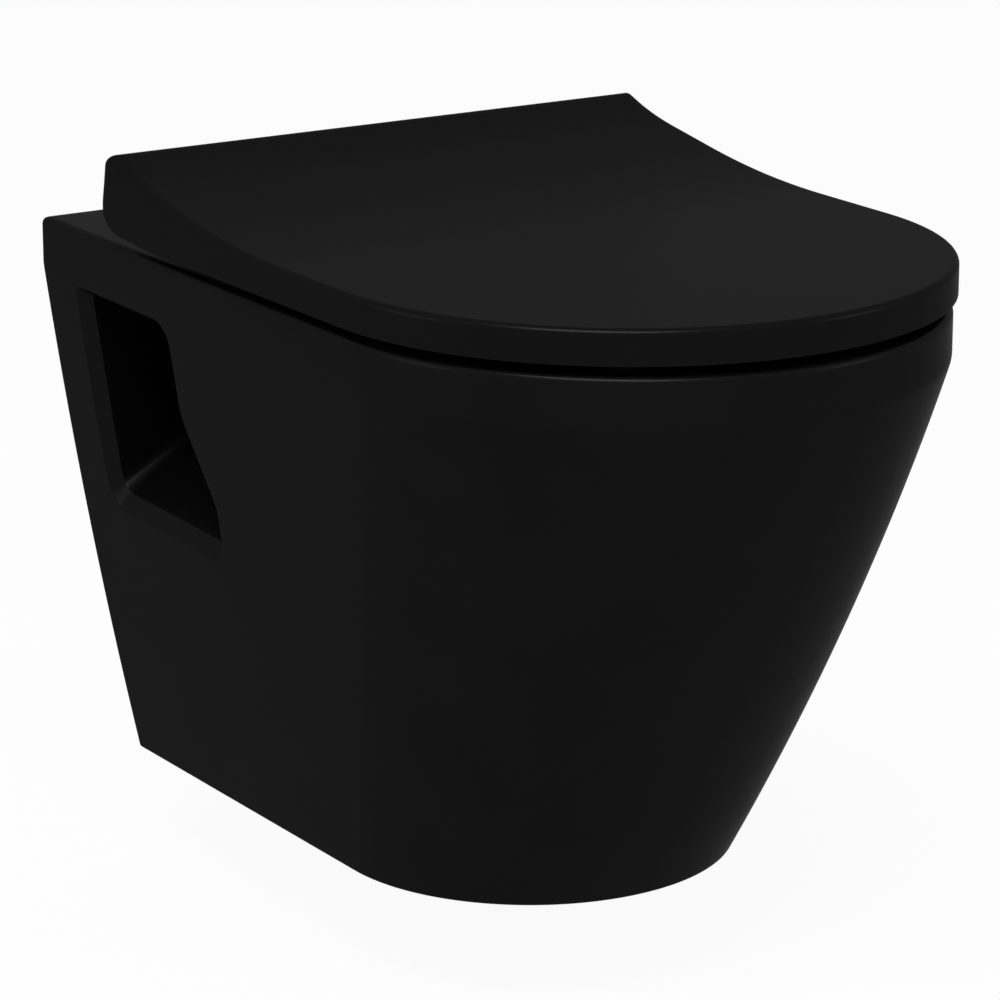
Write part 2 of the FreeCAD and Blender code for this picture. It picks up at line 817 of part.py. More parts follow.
def make_block(name, side, damper_opens_inwards):
    """A hinge housing on its post, with the damper's bore, the slide's slot and a pin hole."""
    x = f"{side} * {POST_X}"
    barrel = along("block_barrel", side, BLOCK_INNER, BLOCK_OUTER)
    stem_deep = "block_stem_front_out - block_stem_back_out"
    stem = block("block_stem_width", stem_deep, f"hinge_level - ({BLOCK_FOOT})",
                 f"{x} - block_stem_width / 2", "-block_stem_front_out", BLOCK_FOOT)
    soft = softened(stem, "block_stem_width / 8", is_upright)
    post_hole = rod("post_width + 2 * post_fit",
                    "post_height + post_headroom - block_seat_gap",
                    x=x, y=AXIS_Y, z=BLOCK_FOOT)
    slot = block("slide_width + 2 * slide_fit", f"{stem_deep} - slide_front_wall",
                 "slide_thick + 2 * slide_fit", f"{x} - slide_width / 2 - slide_fit",
                 SLOT_FRONT, "slide_level - slide_fit")
    bore_width = "damper_width + 2 * damper_fit"
    if damper_opens_inwards:
        bore = along(bore_width, side, BLOCK_INNER, f"{BLOCK_INNER} + damper_length")
    else:
        bore = along(bore_width, side, f"{BLOCK_OUTER} - damper_length", BLOCK_OUTER)
    pin_hole = along("shaft_width", side, BLOCK_INNER, BLOCK_OUTER)
    housing = without(joined(barrel, soft), post_hole, slot, bore, pin_hole)
    return node(f"hinge_block_{name}", housing)


def is_upright(edge):
    first, last = edge.Vertexes[0].Point, edge.Vertexes[-1].Point
    return abs(first.x - last.x) < 0.01 and abs(first.y - last.y) < 0.01


def make_release(name, side):
    """The push slide round the post, its button at the back, and the spring in front of it."""
    x = f"{side} * {POST_X}"
    back = "-block_stem_back_out"
    head = f"{back} + button_travel + button_gap"
    plate = block("slide_width", f"{head} - ({SLIDE_FRONT})", "slide_thick",
                  f"{x} - slide_width / 2", SLIDE_FRONT, "slide_level")
    button = block("slide_width", "button_thick", "button_high", f"{x} - slide_width / 2", head,
                   "slide_level + slide_thick / 2 - button_high / 2")
    window_wide = "post_width + 2 * post_fit"
    first = rod(window_wide, "slide_thick", x=x, y=AXIS_Y, z="slide_level")
    window_long = "button_travel + slide_spare"
    last = rod(window_wide, "slide_thick", x=x, y=f"{AXIS_Y} + {window_long}", z="slide_level")
    between = block(window_wide, window_long, "slide_thick",
                    f"{x} - ({window_wide}) / 2", AXIS_Y, "slide_level")
    node(f"release_button_{name}", without(joined(plate, button), first, last, between))
    length = f"({SLIDE_FRONT}) - ({SLOT_FRONT})"
    coil = rod("spring_width", length, x=x, y=SLOT_FRONT, z="slide_level + slide_thick / 2", turn="Y")
    hole = rod("spring_hole", length, x=x, y=SLOT_FRONT, z="slide_level + slide_thick / 2", turn="Y")
    node(f"button_spring_{name}", without(coil, hole))


def make_dampers():
    """Two rotary dampers: the left one slows the seat, the right one slows the lid."""
    shaft_end = "lug_gap + lug_length - shaft_end_gap"
    seat_bore_end = f"{BLOCK_INNER} + damper_length"
    lid_bore_end = f"{BLOCK_OUTER} - damper_length"
    hole = "shaft_width + 2 * shaft_fit"

    body = along("damper_width", "-1", BLOCK_INNER, seat_bore_end)
    well = along(hole, "-1", BLOCK_INNER, f"{seat_bore_end} - block_end_wall")
    node("seat_damper", without(body, well))
    node("seat_damper_shaft", along("shaft_width", "-1", f"{BLOCK_INNER} - ({shaft_end})",
                                    f"{seat_bore_end} - block_end_wall - shaft_fit"))

    body = along("damper_width", "1", lid_bore_end, BLOCK_OUTER)
    well = along(hole, "1", f"{lid_bore_end} + block_end_wall", BLOCK_OUTER)
    node("lid_damper", without(body, well))
    node("lid_damper_shaft", along("shaft_width", "1",
                                   f"{lid_bore_end} + block_end_wall + shaft_fit",
                                   f"{BLOCK_OUTER} + {shaft_end}"))

    pin = "shaft_width - 2 * shaft_fit"
    node("lid_hinge_pin", along(pin, "-1", f"{seat_bore_end} + shaft_fit",
                                f"{BLOCK_OUTER} + {shaft_end}"))
    node("seat_hinge_pin", along(pin, "1", f"{BLOCK_INNER} - ({shaft_end})",
                                 f"{lid_bore_end} - shaft_fit"))

    for name, side, inner, outer in (
            ("lid_bush", "-1", f"{BLOCK_OUTER} + lug_gap", f"{BLOCK_OUTER} + lug_gap + lug_length"),
            ("seat_bush", "1", f"{BLOCK_INNER} - lug_gap - lug_length", f"{BLOCK_INNER} - lug_gap")):
        node(name, without(along("bush_width", side, inner, outer),
                           along("shaft_width", side, inner, outer)))


def lug_holes(inner, outer, bush_side):
    """The bush's bore on one side and the damper shaft's own bore on the other."""
    bush = along("bush_width + 2 * bush_fit", bush_side, inner, outer)
    shaft_side = "1" if bush_side == "-1" else "-1"
    shaft = along("shaft_width + 2 * shaft_fit", shaft_side, inner, outer)
    return bush, shaft


# ---------------------------------------------------------------- the seat ring

LID_HALF = "(pan_width / 2 + lid_overhang)"
RING_TOP = "ring_bottom_level + ring_thick"


def make_seat_ring():
    body = new_body("seat_ring_moulding")
    half = f"{LID_HALF} - lid_wall - ring_gap"
    front = "lid_depth - lid_wall - ring_gap"
    pad(body, round_nose(sketch_on(body, "XY_Plane", "ring_bottom_level"), half, front,
                         "ring_back_out", "ring_corner"), "ring_thick")
    pocket(body, round_nose(sketch_on(body, "XY_Plane", RING_TOP), "ring_hole_half",
                            "ring_hole_front_out", "ring_hole_back_out", "ring_hole_corner"))
    top = number(RING_TOP)
    foot = number("ring_bottom_level")
    hole_reach = number("ring_hole_front_out + cut_over")
    hole_back = number("ring_hole_back_out - cut_over")
    hole_half = number("ring_hole_half + cut_over")

    def on_hole(edge):
        return all(abs(spot.x) < hole_half and -hole_reach < spot.y < -hole_back
                   for spot in spots_on(edge))

    ease(body, "ring_edge_round", lambda edge: at_level(edge, top) and not on_hole(edge))
    ease(body, "ring_hole_round", lambda edge: at_level(edge, top) and on_hole(edge))
    ease(body, "ring_under_bevel", lambda edge: at_level(edge, foot), bevel=True)
    inner = f"{BLOCK_INNER} - lug_gap - lug_length"
    outer = f"{BLOCK_INNER} - lug_gap"
    lugs = []
    low = "ring_bottom_level + ring_lug_rise"
    high = f"hinge_level - ring_lug_drop - ({low})"
    for _, side in SIDES:
        lugs.append(along("lug_width", side, inner, outer))
        lugs.append(block("lug_length", "ring_back_out - hinge_out + ring_lug_root", high,
                          span(side, inner, outer), "-ring_back_out - ring_lug_root", low))
    ring = without(joined(body, *lugs), *lug_holes(inner, outer, "1"))
    node("seat_ring", ring)


def make_buffers():
    """Rubber feet under the seat and under the lid, a hair off what they land on."""
    spots = (("-buffer_back_half", "-buffer_back_out"), ("buffer_back_half", "-buffer_back_out"),
             ("-buffer_front_half", "-buffer_front_out"), ("buffer_front_half", "-buffer_front_out"))
    seat_high = "ring_bottom_level - rim_level - buffer_gap"
    lid_high = f"lid_front_level - lid_wall - ({RING_TOP}) - buffer_gap"
    node("seat_buffers", *[rod("buffer_width", seat_high, x=x, y=y, z="rim_level + buffer_gap")
                           for x, y in spots])
    lid_spots = [(x, y) for x, y in spots if "front" in x]
    node("lid_buffers", *[rod("lid_buffer_width", lid_high, x=x, y=y, z=f"{RING_TOP} + buffer_gap")
                          for x, y in lid_spots])


# ---------------------------------------------------------------- the lid

def swept_slab(name, wall):
    """The lid's side profile pulled across: flat in front, swept up to a crest at the back."""
    level = f"lid_front_level - {wall}"
    front = "-lid_depth - lid_spare"
    low = "lid_bottom_level" if wall == "0" else "lid_bottom_level - lid_spare / 2"
    sketch = free_sketch(name + "_profile")
    heel_round = "lid_heel_round" if wall == "0" else "lid_crest_round / 2"
    outline(sketch, (
        (front, low),
        (f"-lid_heel_out - {wall}", low, heel_round),
        (f"-lid_crest_out - {wall}", f"lid_crest_level - {wall}", "lid_crest_round"),
        (f"-lid_rise_out - {wall} / 4", f"lid_rise_level - {wall}", "lid_rise_round"),
        ("-lid_sweep_out", level, "lid_sweep_round"),
        (front, level)))
    sketch.Placement = Placement(Vector(0, 0, 0), Rotation(Vector(1, 1, 1), 120))
    slab = doc.addObject("Part::Extrusion", name)
    slab.Base = sketch
    slab.DirMode = "Normal"
    slab.Solid = True
    slab.Symmetric = True
    return drive(slab, LengthFwd="pan_width + 2 * lid_spare")


def lid_prism(name, inset):
    sketch = free_sketch(name + "_plan")
    round_nose(sketch, f"{LID_HALF} - {inset}", f"lid_depth - {inset}", "lid_heel_out - lid_wall",
               "lid_plan_corner")
    drive(sketch, Placement__Base__z="lid_bottom_level - lid_spare")
    prism = doc.addObject("Part::Extrusion", name)
    prism.Base = sketch
    prism.DirMode = "Normal"
    prism.Solid = True
    return drive(prism, LengthFwd="lid_crest_level - lid_bottom_level + 2 * lid_spare")


def both(first, second):
    piece = doc.addObject("Part::Common", "both")
    piece.Base = first
    piece.Tool = second
    return piece


def make_lid():
    """A thin shell with a skirt all round, notched at the back for the hinge blocks."""
    outside = both(lid_prism("lid_outside", "0"), swept_slab("lid_sweep", "0"))
    half = number(LID_HALF)
    front_top = number("lid_front_level - cut_over")

    def on_top_rim(edge):
        spots = spots_on(edge)
        high = all(spot.z > front_top for spot in spots)
        nose = -number("lid_depth") + half
        on_side = all(abs(abs(spot.x) - half) < 0.05 for spot in spots)
        on_bow = all(spot.y < nose + 0.05 for spot in spots) and abs(spots[1].x) < half
        return high and (on_side or on_bow)

    soft = softened(outside, "lid_top_round", on_top_rim)
    inside = both(lid_prism("lid_inside", "lid_wall"), swept_slab("lid_hollow", "lid_wall"))
    inner = f"{BLOCK_OUTER} + lug_gap"
    outer = f"{BLOCK_OUTER} + lug_gap + lug_length"
    notch_front = "-lid_heel_out - lid_notch_depth"
    notch_foot = "lid_bottom_level - lid_spare"
    notch_inner = f"{BLOCK_INNER} - lug_gap - lug_length - lid_notch_gap"
    notches = []
    for _, side in SIDES:
        notches.append(block(f"{inner} - ({notch_inner})", "lid_notch_depth",
                             f"lid_notch_level - ({notch_foot})", span(side, notch_inner, inner),
                             notch_front, notch_foot))
    inner_half = f"{LID_HALF} - lid_wall"
    trim = block(f"2 * ({inner_half})", "lid_notch_depth", f"lid_back_wall_level - ({notch_foot})",
                 f"-({inner_half})", notch_front, notch_foot)
    shell = without(soft, inside, trim, *notches)
    lugs = []
    for _, side in SIDES:
        lugs.append(along("lug_width", side, inner, outer))
        web = block("lug_length", "lid_web", "lid_web", span(side, inner, outer),
                    "-hinge_out - lid_web / 2", "hinge_level")
        lugs.append(both(web, swept_slab("lug_sweep", "0")))
    lid = without(joined(shell, *lugs), *lug_holes(inner, outer, "-1"))
    node("lid", lid)


NODES = []
NODES.append(make_pan())
make_wall_fixings()
make_seat_posts()
make_block("left", "-1", True)
make_block("right", "1", False)
for side_name, side_sign in SIDES:
    make_release(side_name, side_sign)
make_dampers()
make_seat_ring()
make_buffers()
make_lid()
doc.recompute()

# ---------------------------------------------------------------- check and write

for item in doc.Objects:
    if "Invalid" in item.State or "Error" in item.State:
        raise ValueError(f"{item.Label} failed: {item.State}")
for piece in NODES:
    if piece.Shape.isNull() or not piece.Shape.isValid():
        raise ValueError(f"{piece.Label} has no valid shape")
    print(piece.Label, len(piece.Shape.Solids), round(piece.Shape.Volume))
os.makedirs("parts", exist_ok=True)
for piece in NODES:
    piece.Shape.exportStep(f"parts/{piece.Label}.step")
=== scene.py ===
# %% [markdown]
# # A wall hung toilet in matt black
# The pan is one piece of vitreous china with a matt glaze, and the seat and lid are pressed from a
# thermoset plastic. Nearly all that the eye meets is a large black surface, so clean curves, the
# radius of each edge and soft reflections have to carry the shapes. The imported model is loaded
# first: it fixes the sizes and places that the pieces below keep to.

# %% Load the frame
import bmesh
import bpy
import json
import math
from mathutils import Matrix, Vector
from mathutils.geometry import delaunay_2d_cdt


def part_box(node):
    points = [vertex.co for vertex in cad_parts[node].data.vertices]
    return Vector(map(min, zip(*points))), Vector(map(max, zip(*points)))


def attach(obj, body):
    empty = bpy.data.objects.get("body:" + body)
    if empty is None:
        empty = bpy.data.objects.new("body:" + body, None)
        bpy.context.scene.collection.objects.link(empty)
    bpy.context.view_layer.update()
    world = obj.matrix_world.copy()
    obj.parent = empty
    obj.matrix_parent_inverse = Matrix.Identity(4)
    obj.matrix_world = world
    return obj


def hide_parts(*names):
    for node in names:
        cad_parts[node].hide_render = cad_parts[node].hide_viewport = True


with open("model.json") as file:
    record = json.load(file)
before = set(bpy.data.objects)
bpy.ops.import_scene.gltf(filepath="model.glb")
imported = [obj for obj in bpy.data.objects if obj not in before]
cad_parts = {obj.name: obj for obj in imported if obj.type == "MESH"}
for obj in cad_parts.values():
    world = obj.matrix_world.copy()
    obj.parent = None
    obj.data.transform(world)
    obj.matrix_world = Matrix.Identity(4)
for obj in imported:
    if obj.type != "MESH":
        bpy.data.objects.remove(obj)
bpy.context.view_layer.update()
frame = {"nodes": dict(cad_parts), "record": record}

# %% [markdown]
# ## Sizes
# A ceramics maker works in millimetres, so the sizes are kept that way and turned to metres where
# a mesh is made. The frame's boxes of the pan, the seat and the lid give widths, depths and
# levels. The origin is on the wall between the two studs, +Z is up and the front looks towards -Y.
# A name that ends in OUT is a distance from the wall, LEVEL is a height above the studs and HALF
# is half a width.

# %% Sizes that the frame gives
MM = 0.001


def box_mm(node):
    """The lowest and highest corners of a node of the frame, in millimetres."""
    low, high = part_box(node)
    return low / MM, high / MM


pan_low, pan_high = box_mm("pan")
ring_low, ring_high = box_mm("seat_ring")
lid_low, lid_high = box_mm("lid")
axis_low, axis_high = box_mm("lid_hinge_pin")
RIM_HALF = pan_high.x
RIM_OUT = -pan_low.y
RIM_LEVEL = pan_high.z
FOOT_LEVEL = pan_low.z
LID_HALF = lid_high.x
LID_OUT = -lid_low.y
LID_FOOT = lid_low.z
HINGE_OUT = -(axis_low.y + axis_high.y) / 2
HINGE_LEVEL = (axis_low.z + axis_high.z) / 2
RING_FOOT = ring_low.z
print("rim", round(RIM_HALF, 1), round(RIM_OUT, 1))
print("levels", round(RIM_LEVEL, 1), round(FOOT_LEVEL, 1))
print("hinge axis", round(HINGE_OUT, 1), "mm out at level", round(HINGE_LEVEL, 1))

# %% [markdown]
# ## Camera
# The camera stands where the photographer's did. Its place and lens come from matching the
# object's edges and curves to a model of the same size. The lens is long, so the sides hardly
# converge.

# %% Camera
CAMERA_PLACE_MM = Vector((-1358.24, -2356.24, 652.68))
CAMERA_LOOKS_AT_MM = Vector((-19.43, -260.22, -57.68))
LENS_MM = 161.92
SENSOR_MM = 36.0


def set_up(name, data, place_mm, target_mm):
    """Stands a camera or a lamp at a place and turns it to a target."""
    stand = bpy.data.objects.new(name, data)
    stand.location = place_mm * MM
    look = (target_mm - place_mm).normalized()
    stand.rotation_euler = look.to_track_quat("-Z", "Y").to_euler()
    bpy.context.collection.objects.link(stand)
    print(name, "looks along", [round(value, 4) for value in look])
    return stand


camera_data = bpy.data.cameras.new("camera")
camera_data.lens = LENS_MM
camera_data.sensor_width = SENSOR_MM
bpy.context.scene.camera = set_up("camera", camera_data, CAMERA_PLACE_MM, CAMERA_LOOKS_AT_MM)

# %% [markdown]
# ## A small workshop for meshes
# The china and the plastic parts are smooth shells, so they are built ring by ring, as a potter
# builds a wall: each ring is an outline with the same number of points, and neighbours are bridged
# with quads. Quads in even rows take soft reflections well, and a few extra rings draw each edge
# radius.

# %% Shell builder


class Shell:
    """Points and faces that grow ring by ring, in millimetres."""

    def __init__(self):
        self.points = []
        self.faces = []

    def ring(self, points):
        first = len(self.points)
        self.points += [tuple(point) for point in points]
        return list(range(first, len(self.points)))

    def bridge(self, one, other, skip=()):
        for i in range(len(one)):
            j = (i + 1) % len(one)
            if i not in skip:
                self.faces.append((one[i], one[j], other[j], other[i]))

    def stack(self, rings):
        """Bridges rings in turn and returns the last."""
        for one, other in zip(rings, rings[1:]):
            self.bridge(one, other)
        return rings[-1]

    def cap(self, ring):
        self.faces.append(tuple(ring))

    def close(self, ring, outlines):
        """Goes on from a ring over more outlines and caps the last."""
        self.cap(self.stack([ring] + [self.ring(outline) for outline in outlines]))


def mesh_object(name, points, faces):
    """An object of the scene from points in millimetres, with clean outward faces."""
    mesh = bpy.data.meshes.new(name)
    work = bmesh.new()
    verts = [work.verts.new(Vector(point) * MM) for point in points]
    for face in faces:
        work.faces.new([verts[i] for i in face])
    loose = [vert for vert in work.verts if not vert.link_faces]
    bmesh.ops.delete(work, geom=loose, context="VERTS")
    bmesh.ops.recalc_face_normals(work, faces=work.faces)
    work.to_mesh(mesh)
    work.free()
    piece = bpy.data.objects.new(name, mesh)
    bpy.context.collection.objects.link(piece)
    return piece


def solid(name, outlines):
    """A mesh of outlines that are bridged in turn, with both ends capped."""
    shell = Shell()
    rings = [shell.ring(outline) for outline in outlines]
    shell.stack(rings)
    shell.cap(rings[0])
    shell.cap(rings[-1])
    return mesh_object(name, shell.points, shell.faces)


# %% [markdown]
# The plan of every large part is the same kind of figure: a straight back, straight sides and a
# half-round nose. `plan_ring` draws it with a fixed number of points on each stretch, so that two
# rings of different size still bridge point for point.

# %% Outlines
BACK_STEPS = 24
CORNER_STEPS = 8
SIDE_STEPS = 40
NOSE_STEPS = 112


def run(start, stop, steps):
    """Points from start towards stop, without the last."""
    a, b = Vector(start), Vector(stop)
    return [a.lerp(b, i / steps) for i in range(steps)]


def arc(centre, radius, first, last, steps):
    """Points round a centre between two angles in degrees, without the last."""
    angles = [math.radians(first + (last - first) * i / steps) for i in range(steps)]
    return [Vector((centre[0] + radius * math.cos(a), centre[1] + radius * math.sin(a)))
            for a in angles]


def plan_ring(half, front, back, corner, level, split=None):
    """A closed plan outline at a level, anticlockwise from the right end of its back.

    Each side has as many points behind the split, a distance from the wall, as before it.
    """
    nose = half - front
    bend = -back - corner
    middle = -split if split else (bend + nose) / 2
    points = run((half - corner, -back), (corner - half, -back), BACK_STEPS)
    points += arc((corner - half, bend), corner, 90, 180, CORNER_STEPS)
    points += run((-half, bend), (-half, middle), SIDE_STEPS)
    points += run((-half, middle), (-half, nose), SIDE_STEPS)
    points += arc((0, nose), half, 180, 360, NOSE_STEPS)
    points += run((half, nose), (half, middle), SIDE_STEPS)
    points += run((half, middle), (half, bend), SIDE_STEPS)
    points += arc((half - corner, bend), corner, 0, 90, CORNER_STEPS)
    return [(point.x, point.y, level) for point in points]


def drawn_in(sizes, inset, level):
    """A plan ring of sizes (half, front, back, corner), drawn in by an inset."""
    half, front, back, corner = sizes
    return plan_ring(half - inset, front - inset, back + inset, corner - inset, level)


# %% Rounded corners and smooth curves
def rounded_outline(corners, arc_steps, run_steps):
    """A closed outline of corners (a, b, radius), with a fixed number of points on each stretch."""
    spots = [Vector(corner[:2]) for corner in corners]
    bends = [round_corner(spots[i - 1], spot, spots[(i + 1) % len(spots)], corners[i][2], arc_steps)
             for i, spot in enumerate(spots)]
    points = []
    for i, bend in enumerate(bends):
        points += bend[:-1] + run(bend[-1], bends[(i + 1) % len(bends)][0], run_steps)
    return points


def bent_line(spots, bends):
    """A line through 2-D spots whose inner corners are rounded by (radius, steps)."""
    spots = [Vector(spot) for spot in spots]
    points = [spots[0]]
    for before, spot, after, (radius, steps) in zip(spots, spots[1:], spots[2:], bends):
        points += round_corner(before, spot, after, radius, steps)
    return points + [spots[-1]]


def round_corner(before, spot, after, radius, steps):
    """Points on the arc that rounds the corner at spot, between its neighbours."""
    return fillet(spot, (before - spot).normalized(), (after - spot).normalized(), radius, steps)


def fillet(spot, before, after, radius, steps):
    """Points on the arc that rounds a corner at spot between two directions, in 2-D or 3-D."""
    half_angle = before.angle(after) / 2
    start = spot + before * (radius / math.tan(half_angle))
    centre = spot + (before + after).normalized() * (radius / math.sin(half_angle))
    stop = spot + after * (radius / math.tan(half_angle))
    sweep = math.pi - 2 * half_angle
    one, two = start - centre, stop - centre
    points = []
    for i in range(steps + 1):
        share = i / steps
        low = math.sin((1 - share) * sweep) / math.sin(sweep)
        high = math.sin(share * sweep) / math.sin(sweep)
        points.append(centre + one * low + two * high)
    return points


def through(stations, values, place):
    """The smooth curve through values at stations, read at a place, by Lagrange's formula."""
    total = 0.0
    for i, value in enumerate(values):
        share = 1.0
        for j, station in enumerate(stations):
            if j != i:
                share *= (place - station) / (stations[i] - station)
        total += value * share
    return total


def ease(share):
    """A share held between 0 and 1, with a soft start and a soft stop."""
    share = min(max(share, 0.0), 1.0)
    return share * share * (3 - 2 * share)


# %% [markdown]
# Holes, bores and notches are cut with booleans, as a caster cuts them into the leather-hard clay.
# After a cut the mesh is shaded smooth again, except across sharp edges, and the normals are
# weighted by face size, which keeps flat areas flat beside small rounds.

# %% Cutting and joining
def bake(piece):
    """Turns a piece with modifiers into a plain mesh."""
    graph = bpy.context.evaluated_depsgraph_get()
    mesh = bpy.data.meshes.new_from_object(piece.evaluated_get(graph))
    piece.modifiers.clear()
    piece.data = mesh


def boolean(piece, tool, operation):
    """Joins or cuts a piece with a tool, which is used up."""
    step = piece.modifiers.new("boolean", "BOOLEAN")
    step.object = tool
    step.operation = operation
    step.solver = "EXACT"
    bake(piece)
    bpy.data.objects.remove(tool)
    return piece


def cut(piece, tool):
    boolean(piece, tool, "DIFFERENCE")


# %% Rounding and shading
SHARP_DEGREES = 30.0
CREASE_DEGREES = 32.0
TOUCH = 0.01   # places closer than this, in millimetres, count as one


def round_edges(piece, radius, wanted, segments=4):
    """Rounds the sharp edges whose two ends, in millimetres, pass the test wanted."""
    work = bmesh.new()
    work.from_mesh(piece.data)
    layer = work.edges.layers.float.new("bevel_weight_edge")
    count = 0
    for edge in work.edges:
        angle = edge.calc_face_angle(0.0) if len(edge.link_faces) == 2 else 0.0
        chosen = angle > math.radians(SHARP_DEGREES) and wanted(*(v.co / MM for v in edge.verts))
        edge[layer] = float(chosen)
        count += chosen
    work.to_mesh(piece.data)
    work.free()
    step = piece.modifiers.new("round", "BEVEL")
    step.width = radius * MM
    step.segments = segments
    step.limit_method = "WEIGHT"
    step.use_clamp_overlap = True
    bake(piece)
    print(piece.name, "has", count, "edges rounded to", radius, "mm")
    return piece


def shade(piece):
    """Smooth shading that keeps creases sharp and flats flat."""
    piece.data.shade_smooth()
    piece.data.set_sharp_from_angle(angle=math.radians(CREASE_DEGREES))
    step = piece.modifiers.new("normals", "WEIGHTED_NORMAL")
    step.keep_sharp = True
    bake(piece)


def finish_piece(piece, body, slot, material, *nodes):
    """Gives a mesh its material and body and hides the nodes it replaces. The slot is not used."""
    piece.data.materials.clear()
    piece.data.materials.append(material)
    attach(piece, body)
    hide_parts(*nodes)
    print(piece.name, "faces", len(piece.data.polygons), "rides on", body)


# %% [markdown]
# ## Materials
# A colour is written as the hex value that a picture editor would show, and one function turns it
# to the linear numbers that a renderer adds up. One more function adds a node. Pattern sizes are
# real ones: a noise whose bumps are 2 mm wide has a scale of 1 / 0.002 in a scene in metres.

# %% Colour and node helpers
def linear(hex_colour):
    """An sRGB hex colour as a linear colour with alpha."""
    parts = [int(hex_colour[i:i + 2], 16) / 255 for i in (1, 3, 5)]
    return [c / 12.92 if c <= 0.04045 else ((c + 0.055) / 1.055) ** 2.4 for c in parts] + [1.0]


def add(tree, kind, inputs=None, **settings):
    """Adds a shader node. An input's value may be a number, a colour or another node's output."""
    node = tree.nodes.new("ShaderNode" + kind)
    for name, value in settings.items():
        setattr(node, name, value)
    for name, value in (inputs or {}).items():
        if isinstance(value, bpy.types.NodeSocket):
            tree.links.new(value, node.inputs[name])
        else:
            node.inputs[name].default_value = value
    return node


def empty_tree(owner):
    """The emptied node tree of a material or a world."""
    owner.use_nodes = True
    owner.node_tree.nodes.clear()
    return owner.node_tree


def new_material(name, shader_inputs):
    """A material with one Principled shader, ready for its patterns."""
    material = bpy.data.materials.new(name)
    tree = empty_tree(material)
    shader = add(tree, "BsdfPrincipled", shader_inputs)
    add(tree, "OutputMaterial", {"Surface": shader.outputs["BSDF"]})
    place = add(tree, "TexCoord").outputs["Object"]
    return material, tree, shader, place


# %% Patterns
MIX_FACTOR, MIX_FIRST, MIX_SECOND, MIX_RESULT = 0, 6, 7, 2   # sockets of a colour mix
NOISE_LOW, NOISE_HIGH = 0.3, 0.7   # most of a noise lies between these


def noise(tree, place, grain_mm, detail=2.0):
    """A cloud pattern whose lumps are about grain_mm wide."""
    return add(tree, "TexNoise", {"Vector": place, "Scale": 1 / (grain_mm * MM), "Detail": detail})


def colour_between(tree, shader, pattern, dark, light):
    """Lets the base colour wander between two hex colours."""
    mixed = add(tree, "Mix", {MIX_FACTOR: pattern.outputs["Fac"], MIX_FIRST: linear(dark),
                              MIX_SECOND: linear(light)}, data_type="RGBA")
    tree.links.new(mixed.outputs[MIX_RESULT], shader.inputs["Base Color"])


def roughness_between(tree, shader, pattern, low, high):
    """Lets the roughness wander between two values."""
    spread = add(tree, "MapRange", {"Value": pattern.outputs["Fac"], "From Min": NOISE_LOW,
                                    "From Max": NOISE_HIGH, "To Min": low, "To Max": high})
    tree.links.new(spread.outputs["Result"], shader.inputs["Roughness"])


def bump(tree, shader, pattern, height_mm):
    """Raises the surface by up to height_mm where the pattern is light."""
    step = add(tree, "Bump", {"Height": pattern.outputs["Fac"], "Distance": height_mm * MM,
                              "Strength": 1.0})
    for layer in ("Normal", "Coat Normal"):
        tree.links.new(step.outputs["Normal"], shader.inputs[layer])


# %% [markdown]
# ### Matt glazed china
# Vitreous china gets its colour from the glaze, which is sprayed on and fired. A matt black glaze
# is full of iron and manganese oxides. It swallows nearly all light, and their fine crystals form
# a thin silky skin with a high index, so the eye mostly sees a faint broad reflection of the room:
# the flat sides look dark grey, a rounded edge catches a line of light, and the side windows are
# as black as what they mirror. The glaze pools thicker in places, which reads as faint clouds, and
# the sprayed droplets leave a very low ripple.

# %% Matt glazed china
CLOUD_MM = 60.0
SILK = {"Coat Roughness": 0.3, "Coat IOR": 2.4}
SILK_ROUGHNESS = (0.36, 0.4)


def silky_black(name, index, shine, skin, dark, light, streak_mm, grain_mm, height_mm):
    """A dull black body under a thin silky skin."""
    material, tree, shader, place = new_material(
        name, {"IOR": index, "Specular IOR Level": shine, "Coat Weight": skin, **SILK})
    colour_between(tree, shader, noise(tree, place, CLOUD_MM), dark, light)
    roughness_between(tree, shader, noise(tree, place, streak_mm), *SILK_ROUGHNESS)
    bump(tree, shader, noise(tree, place, grain_mm), height_mm)
    print(name, "has", len(tree.nodes), "nodes")
    return material


CHINA = silky_black("matt_glazed_china", index=1.5, shine=0.0012, skin=0.028, dark="#050505",
                    light="#090909", streak_mm=12.0, grain_mm=3.5, height_mm=0.003)

# %% [markdown]
# ### Pressed thermoset
# The seat and lid are pressed from urea resin powder between heated steel dies. The plastic is
# dense and flatter than the glaze, with a fine even grain from the blasted dies, and its pigment
# of fine soot gives it much the same silky skin.

# %% Pressed thermoset
THERMOSET = silky_black("pressed_thermoset", index=1.54, shine=0.0006, skin=0.031, dark="#030303",
                        light="#050505", streak_mm=2.0, grain_mm=0.9, height_mm=0.001)

# %% [markdown]
# ### Fittings
# Black and grey nylon are injection moulded, so they carry a spark-eroded grain. Rubber is duller
# still. Steel nuts and studs are zinc plated, which leaves a cloudy blue-grey skin; the posts and
# discs are brushed stainless steel; the nuts in the dowels are turned brass, with fine rings from
# the cutting tool.

# %% Moulded and metal fittings
MOULDED_STAIN_MM = 12.0
METAL_STAIN_MM = 6.0
STAIN_DETAIL = 3.0
MARK_DETAIL = 4.0
MARK_HEIGHT_MM = 0.004


def moulded(name, dark, light, roughness, grain_mm, height_mm, shine):
    """A moulded plastic or rubber with a fine grain."""
    material, tree, shader, place = new_material(name, {"IOR": 1.5, "Specular IOR Level": shine})
    stain = noise(tree, place, MOULDED_STAIN_MM, STAIN_DETAIL)
    colour_between(tree, shader, stain, dark, light)
    grain = noise(tree, place, grain_mm)
    roughness_between(tree, shader, grain, *roughness)
    bump(tree, shader, grain, height_mm)
    return material


